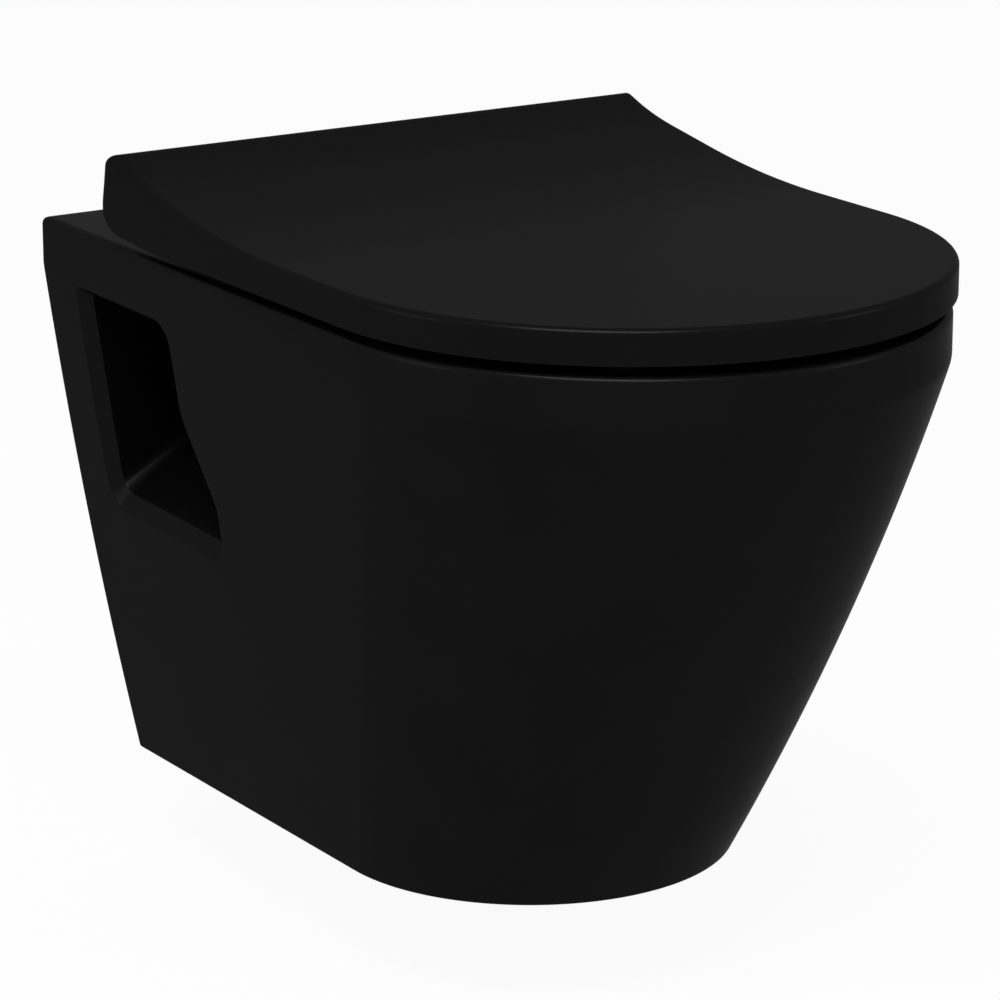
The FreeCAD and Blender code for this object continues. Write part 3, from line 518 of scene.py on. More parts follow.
def metal(name, dark, light, roughness, stretch, grain_mm):
    """A metal whose marks are stretched along the way the tool went."""
    material, tree, shader, place = new_material(name, {"Metallic": 1.0})
    drawn = add(tree, "Mapping", {"Vector": place, "Scale": stretch})
    marks = noise(tree, drawn.outputs["Vector"], grain_mm, MARK_DETAIL)
    stain = noise(tree, place, METAL_STAIN_MM, STAIN_DETAIL)
    colour_between(tree, shader, stain, dark, light)
    roughness_between(tree, shader, marks, *roughness)
    bump(tree, shader, marks, MARK_HEIGHT_MM)
    return material


MOULDED = {   # slot: dark, light, roughness, grain, height of the grain, specular level
    "black_nylon": ("#171718", "#1e1e20", (0.48, 0.6), 0.8, 0.01, 0.3),
    "grey_nylon": ("#6f7173", "#7b7d80", (0.42, 0.55), 0.8, 0.01, 0.3),
    "black_rubber": ("#070707", "#0b0b0b", (0.7, 0.85), 1.2, 0.02, 0.03),
    "black_cap": ("#161617", "#1b1b1c", (0.45, 0.58), 0.8, 0.01, 0.3),
}
METALS = {   # slot: name, dark, light, roughness, stretch of the marks, grain
    "zinc_steel": ("zinc_plated_steel", "#b4b9bf", "#cdd1d4", (0.28, 0.45), (1, 0.2, 1), 1.5),
    "stainless": ("brushed_stainless_steel", "#bfbdb9", "#d3d1cd", (0.25, 0.4), (1, 1, 0.08), 0.6),
    "brass": ("turned_brass", "#b8924a", "#d2ad62", (0.25, 0.42), (0.1, 0.1, 1), 0.5),
}
FITTINGS = {slot: moulded("moulded_" + slot, *look) for slot, look in MOULDED.items()}
FITTINGS.update({slot: metal(*look) for slot, look in METALS.items()})
print("fittings in", [material.name for material in FITTINGS.values()])

# %% [markdown]
# ## The pan's outside
# The clay body tapers from a straight rim band down to a smaller foot, along a gentle curve. It
# could be sculpted, but a mould maker works from sections, so the same is done here: the half
# width and the depth are known at three levels, and a smooth curve through them gives every ring
# in between. Where the band meets the taper the glaze softens the edge, so the profile is averaged
# there.

# %% Profile of the outside
BAND = 28.5
BAND_FOOT = RIM_LEVEL - BAND
WAIST_LEVEL = -106.5
WAIST_HALF = 152.0
WAIST_OUT = 470.0
FOOT_HALF = 119.7
FOOT_OUT = 381.0
RIM_ROUND = 4.5
FOOT_ROUND = 1.75
PAN_BACK_ROUND = 2.0
LEAST_CORNER = 0.3
BAND_SOFT = 2.5
SKIN_LEVELS = (BAND_FOOT, WAIST_LEVEL, FOOT_LEVEL)


def soft_profile(values, level):
    """A value of the tapering skin at a level, averaged where the rim band begins."""
    spots = [level + BAND_SOFT * step / 2 for step in (-2, -1, 0, 1, 2)]
    return sum(through(SKIN_LEVELS, values, min(spot, BAND_FOOT)) for spot in spots) / len(spots)


def skin_half(level):
    return soft_profile((RIM_HALF, WAIST_HALF, FOOT_HALF), level)


WINDOW_SPLIT_OUT = 205.0


def skin_ring(level, inset=0.0):
    """The outline of the china at a level, drawn in by an inset for a rounded edge."""
    corner = max(PAN_BACK_ROUND - inset, LEAST_CORNER)
    out = soft_profile((RIM_OUT, WAIST_OUT, FOOT_OUT), level)
    return plan_ring(skin_half(level) - inset, out - inset, inset, corner, level,
                     WINDOW_SPLIT_OUT)


print("half width at the waist", round(skin_half(WAIST_LEVEL), 1))

# %% [markdown]
# ## The access windows
# A window in each side lets a spanner reach the nuts on the wall studs. Its mouth is a rounded
# figure on the sloping side, and the pocket narrows inwards while its floor climbs. The mouth and
# the pocket's end have the same number of points, so any ring between them is a blend of the two.
# The lip is a flat bevel with soft borders, wide at the back and the foot, where the hand and the
# spanner need room, and narrow over the top and the front.

# %% Window outlines
WINDOW_PLANE = RIM_HALF + 4.0
POCKET_HALF = 60.0
LIP_SMALL = 2.4
LIP_LARGE = 7.2
LIP_SOFT = 1.6
LIP_LEAN_BACK, LIP_LEAN_DOWN, LIP_START, LIP_SPAN = 0.8, 0.6, 0.3, 0.8
POCKET_END_ROUND = 5.0
WINDOW_MOUTH = ((-47.5, 43.4, 6.0), (-151.0, 42.6, 15.0), (-153.0, -12.7, 40.0),
                (-183.6, -72.7, 22.0), (-184.0, -106.0, 10.0), (-47.5, -102.0, 12.0))
POCKET_END = ((-41.5, 43.4, 6.0), (-125.0, 42.6, 6.0), (-125.0, 10.0, 6.0),
              (-140.0, -8.0, 6.0), (-140.0, -32.0, 6.0), (-41.5, -30.0, 12.0))
WINDOW_ARC_STEPS = 8
WINDOW_RUN_STEPS = 14
LIP_STEPS = 3
END_STEPS = 6
POCKET_STEPS = 8
SKIN_PASSES = 12

mouth_outline = rounded_outline(WINDOW_MOUTH, WINDOW_ARC_STEPS, WINDOW_RUN_STEPS)
end_outline = rounded_outline(POCKET_END, WINDOW_ARC_STEPS, WINDOW_RUN_STEPS)


def pocket_point(i, half):
    """Point i of the pocket's wall at a distance from the middle plane, for the right side."""
    share = (WINDOW_PLANE - half) / (WINDOW_PLANE - POCKET_HALF)
    spot = mouth_outline[i].lerp(end_outline[i], share)
    return Vector((half, spot.x, spot.y))


def point_on_skin(i):
    """Where line i of the pocket's wall leaves the tapering side."""
    half = RIM_HALF
    for _ in range(SKIN_PASSES):
        half = skin_half(pocket_point(i, half).z)
    return pocket_point(i, half)


def lip_size(out):
    """How wide the bevel is where the lip faces a direction: large to the back and down."""
    lean = LIP_LEAN_BACK * out.y - LIP_LEAN_DOWN * out.z
    return LIP_SMALL + (LIP_LARGE - LIP_SMALL) * ease((lean + LIP_START) / LIP_SPAN)


def soft_bevel(spot, before, after, size, radius, steps):
    """Points over a flat bevel whose two borders are rounded."""
    start, stop = spot + before * size, spot + after * size
    across = (stop - start).normalized()
    return (fillet(start, before, across, radius, steps)
            + fillet(stop, -across, after, radius, steps))


# %% Rings of a window
def square_to(loop, i, towards):
    """The direction square to a loop at its point i, in side view, that looks towards a vector."""
    along = loop[(i + 1) % len(loop)] - loop[i - 1]
    side = Vector((0, -along.z, along.y)).normalized()
    return side if side.dot(towards) > 0 else -side


def window_rings():
    """Rings of the right window from the skin, over the lip and along the pocket to its end."""
    count = len(mouth_outline)
    edge = [point_on_skin(i) for i in range(count)]
    far = [pocket_point(i, POCKET_HALF) for i in range(count)]
    middle = sum(far, Vector()) / count
    columns = []
    for i, (spot, last) in enumerate(zip(edge, far)):
        out = square_to(edge, i, spot - middle)
        size = lip_size(out)
        out.x = out.z * (skin_half(spot.z + 1) - skin_half(spot.z - 1)) / 2
        inward = (last - spot).normalized()
        bend = soft_bevel(spot, out.normalized(), inward, size, LIP_SOFT, LIP_STEPS)
        bend[0].x = skin_half(bend[0].z)
        inner = square_to(far, i, middle - last)
        end = fillet(last, -inward, inner, POCKET_END_ROUND, END_STEPS)
        columns.append(bend + run(bend[-1], end[0], POCKET_STEPS)[1:] + end)
    return [list(ring) for ring in zip(*columns)]


right_window = window_rings()
_, window_y, window_z = zip(*right_window[0])
print("window from", round(max(window_y)), "to", round(min(window_y)), "mm out")
print("window between levels", round(min(window_z)), "and", round(max(window_z)))

# %% [markdown]
# The side round a window is filled with a Delaunay net of triangles, which has few slivers and
# joins the rings' points to the lip's. The side is straight from front to back here, so a point's
# height alone says how far out it lies.

# %% Fill the side round a window
NET_GAP = 3.0
NET_MERGE = 1e-6


def inside(point, polygon):
    """True if a 2-D point lies inside a closed polygon."""
    result = False
    for i, a in enumerate(polygon):
        b = polygon[i - 1]
        if (a.y > point.y) != (b.y > point.y):
            if point.x < (b.x - a.x) * (point.y - a.y) / (b.y - a.y) + a.x:
                result = not result
    return result


def border_of(rows, columns):
    """The points round a block of rows and columns, in turn."""
    border = [rows[0][c] for c in columns] + [row[columns[-1]] for row in rows[1:]]
    border += [rows[-1][c] for c in reversed(columns[:-1])]
    return border + [row[columns[0]] for row in reversed(rows[1:-1])]


def fill_round_window(shell, rows, columns, lip):
    """Adds the net between a block of ring points and the lip's first ring."""
    border = border_of(rows, columns)
    hole = [Vector(shell.points[i][1:]) for i in lip]
    inner = []
    for row in rows[1:-1]:
        for c in columns[1:-1]:
            spot = Vector(shell.points[row[c]][1:])
            if not inside(spot, hole) and min((spot - edge).length for edge in hole) > NET_GAP:
                inner.append(row[c])
    used = border + lip + inner
    spots = [Vector(shell.points[i][1:]) for i in used]
    loops = []
    for first, count in ((0, len(border)), (len(border), len(lip))):
        loops += [(first + i, first + (i + 1) % count) for i in range(count)]
    net_spots, _, net_faces, origins = delaunay_2d_cdt(spots, loops, [], 0, NET_MERGE)[:4]
    for face in net_faces:
        centre = sum((net_spots[i] for i in face), Vector((0, 0))) / len(face)
        if not inside(centre, hole):
            shell.faces.append(tuple(used[origins[i][0]] for i in face))


# %% [markdown]
# ## The bowl
# The bowl has no box rim: its wall drops almost straight from the mouth and then closes in on the
# sump, where the water stands. Four sections describe it, with a smooth curve through them, as
# outside. The mouth's edge is a full round of 7 mm, which is kind to the skin and takes the glaze
# evenly.

# %% Profile of the bowl
BOWL_LEVELS = (RIM_LEVEL + 1.0, 18.0, -72.0, -150.0)
BOWL_SIZES = (   # half width, front, back and corner, each at those four levels
    (140.0, 130.0, 78.0, 44.0), (502.0, 482.0, 392.0, 322.0),
    (174.0, 182.0, 212.0, 226.0), (62.0, 58.0, 40.0, 26.0))
MOUTH_ROUND = 7.0
SUMP_ROUND = 14.0
BOWL_RINGS = 56
FOOT_BORDER = 14.0
FOOT_RECESS = 6.0
HOLLOW_CORNER = 18.0
FOOT_STEPS, RIM_STEPS, MOUTH_STEPS, SUMP_STEPS = 4, 5, 7, 6


def bowl_ring(level, widen=0.0, drawn_level=None):
    """The outline of the bowl at a level, widened for a rounded edge."""
    z = level if drawn_level is None else drawn_level
    return drawn_in([through(BOWL_LEVELS, values, z) for values in BOWL_SIZES], -widen, level)


def quarter(radius, steps):
    """Pairs (across, up) on a quarter round: across falls to 0 while up grows to the radius."""
    angles = [math.radians(90 * i / steps) for i in range(steps + 1)]
    return [(radius * (1 - math.sin(a)), radius * (1 - math.cos(a))) for a in angles]


# %% [markdown]
# ## One closed china body
# All of it is one closed skin: foot recess, foot edge, taper with the two windows, rim edge, rim
# top, mouth edge and bowl. The straight back is left as one flat face, so that the hollow behind
# the pan can be cut into it cleanly.

# %% Sides, back and windows
SKIN_STEP = 5.0
BAND_LIFTS = (-5.5, -3.5, -1.5, 0.0, 1.5, 3.5, 8.5, 14.0, 19.5)
WINDOW_MARGIN = 5.0
WINDOW_TOP_MARGIN = 0.6


def skin_levels():
    """Levels of the rings between the rounded foot edge and the rounded rim edge."""
    low = FOOT_LEVEL + FOOT_ROUND
    high = BAND_FOOT + BAND_LIFTS[0]
    count = round((high - low) / SKIN_STEP)
    levels = [low + (high - low) * i / count for i in range(count)]
    return levels + [BAND_FOOT + lift for lift in BAND_LIFTS] + [RIM_LEVEL - RIM_ROUND]


def build_body():
    shell = Shell()
    levels = skin_levels()
    rows = [shell.ring(skin_ring(level)) for level in levels]
    left_first = BACK_STEPS + CORNER_STEPS
    right_last = len(rows[0]) - CORNER_STEPS
    low, high = min(window_z) - WINDOW_MARGIN, max(window_z) + WINDOW_TOP_MARGIN
    low_row = max(i for i, level in enumerate(levels) if level < low)
    high_row = min(i for i, level in enumerate(levels) if level > high)
    side = [shell.points[rows[0][left_first + i]][1] for i in range(SIDE_STEPS)]
    near = max(i for i, y in enumerate(side) if y > max(window_y) + WINDOW_MARGIN)
    far = min(i for i, y in enumerate(side) if y < min(window_y) - WINDOW_MARGIN)
    left = list(range(left_first + near, left_first + far + 1))
    right = list(range(right_last - far, right_last - near + 1))
    for i, (row, above) in enumerate(zip(rows, rows[1:])):
        windows = left[:-1] + right[:-1] if low_row <= i < high_row else []
        shell.bridge(row, above, list(range(BACK_STEPS)) + windows)
    for sign, columns in ((-1, left), (1, right)):
        rings = [shell.ring([(sign * point.x, point.y, point.z) for point in ring])
                 for ring in right_window]
        fill_round_window(shell, rows[low_row:high_row + 1], columns, rings[0])
        shell.cap(shell.stack(rings))
    shell.cap(border_of(rows[::-1], range(BACK_STEPS + 1)))
    return shell, rows


# %% Foot, rim and bowl
def close_foot(shell, first):
    """The rounded foot edge and the shallow recess in the foot."""
    recess = (FOOT_HALF - FOOT_BORDER, FOOT_OUT - FOOT_BORDER, FOOT_BORDER, HOLLOW_CORNER)
    outlines = [skin_ring(FOOT_LEVEL + up, across)
                for across, up in reversed(quarter(FOOT_ROUND, FOOT_STEPS)[:-1])]
    outlines += [plan_ring(*recess, FOOT_LEVEL + lift) for lift in (0.0, FOOT_RECESS)]
    shell.close(first, outlines)


def close_top(shell, last):
    """The rounded rim edge, the flat rim, the mouth's edge and the bowl."""
    top = RIM_LEVEL - MOUTH_ROUND
    foot = BOWL_LEVELS[-1] + SUMP_ROUND
    outlines = [skin_ring(RIM_LEVEL - up, across)
                for across, up in reversed(quarter(RIM_ROUND, RIM_STEPS)[:-1])]
    outlines += [bowl_ring(RIM_LEVEL - down, across, top)
                 for across, down in quarter(MOUTH_ROUND, MOUTH_STEPS)]
    outlines += [bowl_ring(top + (foot - top) * i / BOWL_RINGS) for i in range(1, BOWL_RINGS + 1)]
    outlines += [bowl_ring(BOWL_LEVELS[-1] + up, -across, foot)
                 for across, up in reversed(quarter(SUMP_ROUND, SUMP_STEPS)[:-1])]
    shell.close(last, outlines)


body_shell, body_rows = build_body()
close_foot(body_shell, body_rows[0])
close_top(body_shell, body_rows[-1])
pan = mesh_object("china_pan", body_shell.points, body_shell.faces)
print("china body has", len(pan.data.polygons), "faces")

# %% [markdown]
# ## Behind the pan
# The back is open, which saves clay and lets the pan sit over the frame's fittings. A border, two
# stud bosses and the collars of the water inlet and the waste outlet stand against the wall. The
# tool that cuts the hollow is made first, with the bosses taken out of it, and its far edges are
# rounded, because cast clay has no sharp inner corners.

# %% The hollow behind the pan
BACK_WALL = 16.0
BACK_DEPTH = 30.0
BACK_ROUND = 3.0
STUD_HALF = 90.0
BOSS_RADIUS = 23.0
INLET_LEVEL = 35.0
INLET_COLLAR_RADIUS = 39.0
OUTLET_LEVEL = -100.0
OUTLET_COLLAR_RADIUS = 51.0
PAST = 2.0   # how far a cutting tool stands out of the surface that it cuts
BOSS_PAST, BORE_PAST = 5.0, 1.0
DISC_STEPS = 64


def prism(name, outline, low, high, axis):
    """A closed prism of a 2-D outline between two places along an axis, X, Y or Z."""
    order = {"X": lambda a, b, c: (c, a, b), "Y": lambda a, b, c: (a, c, b),
             "Z": lambda a, b, c: (a, b, c)}[axis]
    return solid(name, [[order(point.x, point.y, place) for point in outline]
                        for place in (low, high)])


def disc(centre, radius, steps=DISC_STEPS):
    return arc(centre, radius, 0, 360, steps)


def hollow_tool():
    slope = (WAIST_HALF - FOOT_HALF) / (WAIST_LEVEL - FOOT_LEVEL)
    top, low = RIM_LEVEL - BACK_WALL, FOOT_LEVEL + BACK_WALL
    wide, narrow = RIM_HALF - BACK_WALL, FOOT_HALF - BACK_WALL + slope * BACK_WALL
    corners = ((-wide, top, HOLLOW_CORNER), (-narrow, low, HOLLOW_CORNER),
               (narrow, low, HOLLOW_CORNER), (wide, top, HOLLOW_CORNER))
    outline = rounded_outline(corners, arc_steps=10, run_steps=1)
    tool = prism("hollow", outline, -BACK_DEPTH, PAST, "Y")
    bosses = (((-STUD_HALF, 0), BOSS_RADIUS), ((STUD_HALF, 0), BOSS_RADIUS),
              ((0, INLET_LEVEL), INLET_COLLAR_RADIUS), ((0, OUTLET_LEVEL), OUTLET_COLLAR_RADIUS))
    for centre, radius in bosses:
        cut(tool, prism("boss", disc(centre, radius), -BACK_DEPTH - BOSS_PAST, BOSS_PAST, "Y"))
    return round_edges(tool, BACK_ROUND, lambda a, b: max(a.y, b.y) < 1 - BACK_DEPTH)


# %% A tube for the trapway
TUBE_STEPS = 40
BEND_STEPS = 10


def swept_tube(name, route, bends, radius):
    """A tube along a route of corners in the middle plane, each corner (y, z)."""
    path = bent_line(route, [(bends, BEND_STEPS)] * (len(route) - 2))
    circles = []
    for i, spot in enumerate(path):
        way = (path[min(i + 1, len(path) - 1)] - path[max(i - 1, 0)]).normalized()
        across = Vector((-way.y, way.x))
        circles.append([(radius * point.x, spot.x + across.x * radius * point.y,
                         spot.y + across.y * radius * point.y)
                        for point in disc((0, 0), 1.0, TUBE_STEPS)])
    return solid(name, circles)


# %% Cuts into the china
EDGE_SOFT = 1.5
TRAP_RADIUS = 32.0
TRAP_BEND = 40.0
TRAP_ROUTE = ((-274.0, -96.0), (-274.0, -160.0), (-196.0, -160.0), (-150.0, -62.0),
              (-84.0, OUTLET_LEVEL), (-BACK_DEPTH, OUTLET_LEVEL))
NOZZLE_RADIUS = 17.0
NOZZLE_FROM, NOZZLE_TO = -188.0, -47.0
POST_HALF = 77.5
SEAT_HOLE_RADIUS = 8.0
SEAT_HOLE_FOOT = 45.0
BACK_BORES = (   # name, place across, level, radius, depth
    ("stud_bore", -STUD_HALF, 0.0, 9.6, 47.0), ("stud_bore", STUD_HALF, 0.0, 9.6, 47.0),
    ("inlet", 0.0, INLET_LEVEL, 27.5, 52.0), ("outlet", 0.0, OUTLET_LEVEL, 41.0, 42.0))

cut(pan, hollow_tool())
for name, x, level, radius, depth in BACK_BORES:
    cut(pan, prism(name, disc((x, level), radius), -depth, PAST, "Y"))
round_edges(pan, EDGE_SOFT, lambda a, b: min(a.y, b.y) > -TOUCH, segments=3)
cut(pan, swept_tube("trapway", TRAP_ROUTE, TRAP_BEND, TRAP_RADIUS))
cut(pan, prism("nozzle", disc((0, INLET_LEVEL), NOZZLE_RADIUS), NOZZLE_FROM, NOZZLE_TO, "Y"))
for post_x in (-POST_HALF, POST_HALF):
    hole = disc((post_x, -HINGE_OUT), SEAT_HOLE_RADIUS)
    cut(pan, prism("seat_hole", hole, SEAT_HOLE_FOOT, RIM_LEVEL + PAST, "Z"))
shade(pan)
finish_piece(pan, "pan", "glazed_china", CHINA, "pan")

# %% [markdown]
# ## The seat ring
# The seat is a solid ring, thicker than it looks, with a full outer edge, a softer inner edge that
# the skin meets, and a hair of a round underneath. Its section is walked once round, and each
# corner is a quarter round.

# %% Seat ring
RING_THICK = 14.0
RING_BACK = 135.0
RING_SIZES = (ring_high.x, -ring_low.y, RING_BACK, 24.0)
HOLE_SIZES = (112.0, 474.0, 196.0, 84.0)
RING_EDGE = 4.5
HOLE_EDGE = 5.0
UNDER_EDGE = 1.5
UNDER_STEPS, TOP_STEPS = 4, 6


def wall_rings(shell, sizes, way, top_round):
    """Rings of a wall of the seat from foot to top, the outer one (way 1) or the hole's (-1)."""
    top = RING_FOOT + RING_THICK
    spots = [(across, RING_FOOT + up) for across, up in quarter(UNDER_EDGE, UNDER_STEPS)]
    spots += [(across, top - up) for across, up in reversed(quarter(top_round, TOP_STEPS))]
    return [shell.ring(drawn_in(sizes, way * across, level)) for across, level in spots]


def build_seat():
    shell = Shell()
    outer = wall_rings(shell, RING_SIZES, 1, RING_EDGE)
    inner = wall_rings(shell, HOLE_SIZES, -1, HOLE_EDGE)
    loop = outer + inner[::-1]
    shell.stack(loop)
    shell.bridge(loop[-1], loop[0])
    return mesh_object("seat_ring_pressing", shell.points, shell.faces)


seat = build_seat()
print("seat ring faces", len(seat.data.polygons))

# %% [markdown]
# The lugs are short arms that rise from the ring to an eye on the hinge axis. They are drawn in
# side view, pushed out to their width, joined to the ring and bored for the shaft or the bush.

# %% Seat lugs
LUG_RADIUS = 11.0
LUG_LENGTH = 20.0
LUG_GAP = 0.5
LUG_EDGE = 1.0
EYE_STEPS = 28
BORE_STEPS = 40
BLOCK_HALF_LENGTH = 19.0
BUSH_RADIUS = 6.05
SHAFT_RADIUS = 4.05
SEAT_EYE = (-60, 150)   # where the eye's round begins and ends, in degrees
SEAT_ARM_FRONT = -RING_BACK - 6.0
SEAT_ARM_TOP = HINGE_LEVEL - 8.0
SEAT_ARM_HEEL = -HINGE_OUT - 4.0
SEAT_ARM_FOOT = RING_FOOT + 4.0


def seat_arm():
    """Side view of the arm: eye, then forward and down into the ring."""
    eye = arc((-HINGE_OUT, HINGE_LEVEL), LUG_RADIUS, *SEAT_EYE, EYE_STEPS)
    return eye + [Vector((SEAT_ARM_FRONT, SEAT_ARM_TOP)), Vector((SEAT_ARM_FRONT, SEAT_ARM_FOOT)),
                  Vector((SEAT_ARM_HEEL, SEAT_ARM_FOOT))]


def add_lugs(piece, outline, inner, bush_side):
    """Joins two lugs to a piece and bores one for the bush and one for the damper's shaft."""
    for side in (-1, 1):
        low, high = sorted((side * inner, side * (inner + LUG_LENGTH)))
        lug = prism("lug", outline, low, high, "X")
        round_edges(lug, LUG_EDGE, lambda a, b: abs(a.x - b.x) < TOUCH, segments=3)
        boolean(piece, lug, "UNION")
        radius = BUSH_RADIUS if side == bush_side else SHAFT_RADIUS
        bore = disc((-HINGE_OUT, HINGE_LEVEL), radius, BORE_STEPS)
        cut(piece, prism("bore", bore, low - BORE_PAST, high + BORE_PAST, "X"))


add_lugs(seat, seat_arm(), POST_HALF - BLOCK_HALF_LENGTH - LUG_GAP - LUG_LENGTH, bush_side=1)
shade(seat)
finish_piece(seat, "seat", "duroplast", THERMOSET, "seat_ring")

# %% [markdown]
# ## The lid
# The lid wraps over the seat: a flat front, a long sweep that lifts towards the back and ends in a
# soft crest, and a back that leans forward as it rises. Its side view gives three curves, the top,
# the foot and the back, and its plan gives an outline. So the skin is built ring by ring on the
# plan outline, each point lifted to where the side view puts it, and more rings draw the round of
# the top edge, which grows along the sweep up to the crest's.

# %% Lid curves in side view
LID_WALL = 4.5
LID_FRONT_LEVEL = 106.8
LID_SWEEP = (-224.0, 730.0)
LID_RISE = (-124.5, 126.9, 262.0)
LID_CREST = (-93.4, 138.6, 9.0)
DROP_FRONT, DROP_RISE, DROP_CREST = 1.2, 1.9, 2.2   # how much lower the photo shows the lid
LID_HEEL = (-81.2, 20.0)
LID_FOOT_RISE = (-150.0, 4.0, 200.0)
LID_PLAN_BACK = 77.2
LID_PLAN_CORNER = 3.5
LID_EDGE = 3.5
LID_UNDER_EDGE = 0.8
LID_SPARE = 20.0   # how far lines and tools reach past the lid
LID_SIDE_RINGS = 6
SWELL_FROM, SWELL_TO = -180.0, -95.0
SWEEP_STEPS, RISE_STEPS, FOOT_RISE_STEPS, HEEL_STEPS = 20, 14, 6, 12


def read_line(points, place):
    """The second coordinate of a line of points at a place along the first."""
    for a, b in zip(points, points[1:]):
        if place <= b[0]:
            return a[1] + (b[1] - a[1]) * (place - a[0]) / (b[0] - a[0])
    return points[-1][1]


lid_front = -LID_OUT - LID_SPARE
lid_level = LID_FRONT_LEVEL - DROP_FRONT
rise = Vector((LID_RISE[0], LID_RISE[1] - DROP_RISE))
crest = Vector((LID_CREST[0], LID_CREST[1] - DROP_CREST))
heel = Vector((LID_HEEL[0], LID_FOOT + LID_FOOT_RISE[1]))
beyond = crest + (crest - rise)
TOP_LINE = bent_line([(lid_front, lid_level), (LID_SWEEP[0], lid_level), rise, beyond],
                     [(LID_SWEEP[1], SWEEP_STEPS), (LID_RISE[2], RISE_STEPS)])
under = bent_line([(lid_front, LID_FOOT), (LID_FOOT_RISE[0], LID_FOOT), heel, crest],
                  [(LID_FOOT_RISE[2], FOOT_RISE_STEPS), (LID_HEEL[1], HEEL_STEPS)])
rearmost = max(range(len(under)), key=lambda i: under[i].x)
FOOT_LINE = under[:rearmost + 1]
BACK_LINE = [(point.y, point.x) for point in under[rearmost:]]
print("lid rises from", round(lid_level, 1), "to", round(crest.y, 1))


# %% Lid outside
CREST_ROUND = LID_CREST[2]
LID_LEAST_CORNER = 0.5
EDGE_ANGLES = range(0, 91, 10)


def lid_round(y):
    """The radius of the top edge, which grows along the sweep."""
    return LID_EDGE + (CREST_ROUND - LID_EDGE) * ease((y - SWELL_FROM) / (SWELL_TO - SWELL_FROM))


def lid_outline(back_level, inset=0.0):
    """The plan outline, drawn in by an inset, where the back has risen to a level."""
    back = -read_line(BACK_LINE, back_level)
    corner = max(LID_PLAN_CORNER - inset, LID_LEAST_CORNER)
    ring = plan_ring(LID_HALF - inset, LID_OUT - inset, back + inset, corner, 0.0)
    return [Vector(point) for point in ring]


def side_ring(share, inset=0.0, lift=0.0):
    """A ring at a share of the way from the foot to where the top edge's round begins."""
    low, high = BACK_LINE[0][0], crest.y - CREST_ROUND
    ring = []
    for point in lid_outline(low + (high - low) * share, inset):
        foot = read_line(FOOT_LINE, point.y) + (LID_UNDER_EDGE if share else lift)
        top = read_line(TOP_LINE, point.y) - lid_round(point.y)
        ring.append((point.x, point.y, foot + (top - foot) * share))
    return ring


def edge_ring(angle):
    """A ring on the round of the top edge, at an angle from the side (0) to the top (90)."""
    drop = 1 - math.sin(math.radians(angle))
    level = crest.y - CREST_ROUND * drop
    ring = []
    for point, far in zip(lid_outline(level), lid_outline(level, CREST_ROUND)):
        radius = lid_round(point.y)
        inward = (far - point) / CREST_ROUND
        spot = point + inward * (radius * (1 - math.cos(math.radians(angle))))
        ring.append((spot.x, spot.y, read_line(TOP_LINE, spot.y) - radius * drop))
    return ring


def across_faces(ring):
    """Faces that close a plan ring with strips from its left side to its right."""
    loop = ring[BACK_STEPS + 1:]
    tip = len(loop) // 2
    strips = [tuple(ring[:BACK_STEPS + 2]) + (ring[-1],)]
    strips += [(loop[i], loop[i + 1], loop[-i - 2], loop[-i - 1]) for i in range(tip - 1)]
    return strips + [tuple(loop[tip - 1:tip + 2])]


def lid_outside():
    shell = Shell()
    rings = [shell.ring(side_ring(0.0, across, up))
             for across, up in quarter(LID_UNDER_EDGE, UNDER_STEPS)]
    rings += [shell.ring(side_ring(i / LID_SIDE_RINGS)) for i in range(1, LID_SIDE_RINGS)]
    rings += [shell.ring(edge_ring(angle)) for angle in EDGE_ANGLES]
    shell.stack(rings)
    shell.faces += across_faces(rings[0]) + across_faces(rings[-1])
    return mesh_object("lid_pressing", shell.points, shell.faces)


lid = lid_outside()
print("lid skin faces", len(lid.data.polygons))

# %% Hollow the lid
INSIDE_CORNER = 2.0
INSIDE_HEEL_STEPS, INSIDE_CREST_STEPS = 8, 10


def lid_inside():
    """The room under the lid, with the plan outline and the side view drawn in by the wall."""
    level = LID_FRONT_LEVEL - LID_WALL
    low = LID_FOOT - LID_SPARE / 2
    line = bent_line([(lid_front, low), (LID_HEEL[0] - LID_WALL, low),
                      (LID_CREST[0] - LID_WALL, LID_CREST[1] - LID_WALL),
                      (LID_RISE[0] - LID_WALL / 4, LID_RISE[1] - LID_WALL),
                      (LID_SWEEP[0], level), (lid_front, level)],
                     [(CREST_ROUND / 2, INSIDE_HEEL_STEPS), (CREST_ROUND, INSIDE_CREST_STEPS),
                      (LID_RISE[2], RISE_STEPS), (LID_SWEEP[1], SWEEP_STEPS)])
    plan = plan_ring(LID_HALF - LID_WALL, LID_OUT - LID_WALL, LID_PLAN_BACK, INSIDE_CORNER, 0.0)
    room = prism("inside", [Vector(point[:2]) for point in plan],
                 LID_FOOT - LID_SPARE, crest.y + LID_SPARE, "Z")
    slab = prism("slab", line, -LID_HALF - LID_SPARE, LID_HALF + LID_SPARE, "X")
    return boolean(room, slab, "INTERSECT")


cut(lid, lid_inside())

# %% Notch the lid's back
NOTCH_INNER, NOTCH_OUTER = 35.5, 97.0
NOTCH_LEVEL, NOTCH_CORNER = 131.0, 4.0
BACK_WALL_LEVEL, BACK_WALL_CORNER = 98.0, 1.5
NOTCH_FRONT, NOTCH_BACK = LID_HEEL[0] - 18.5, LID_HEEL[0] + 12.0
NOTCH_FOOT = LID_FOOT - 6.0


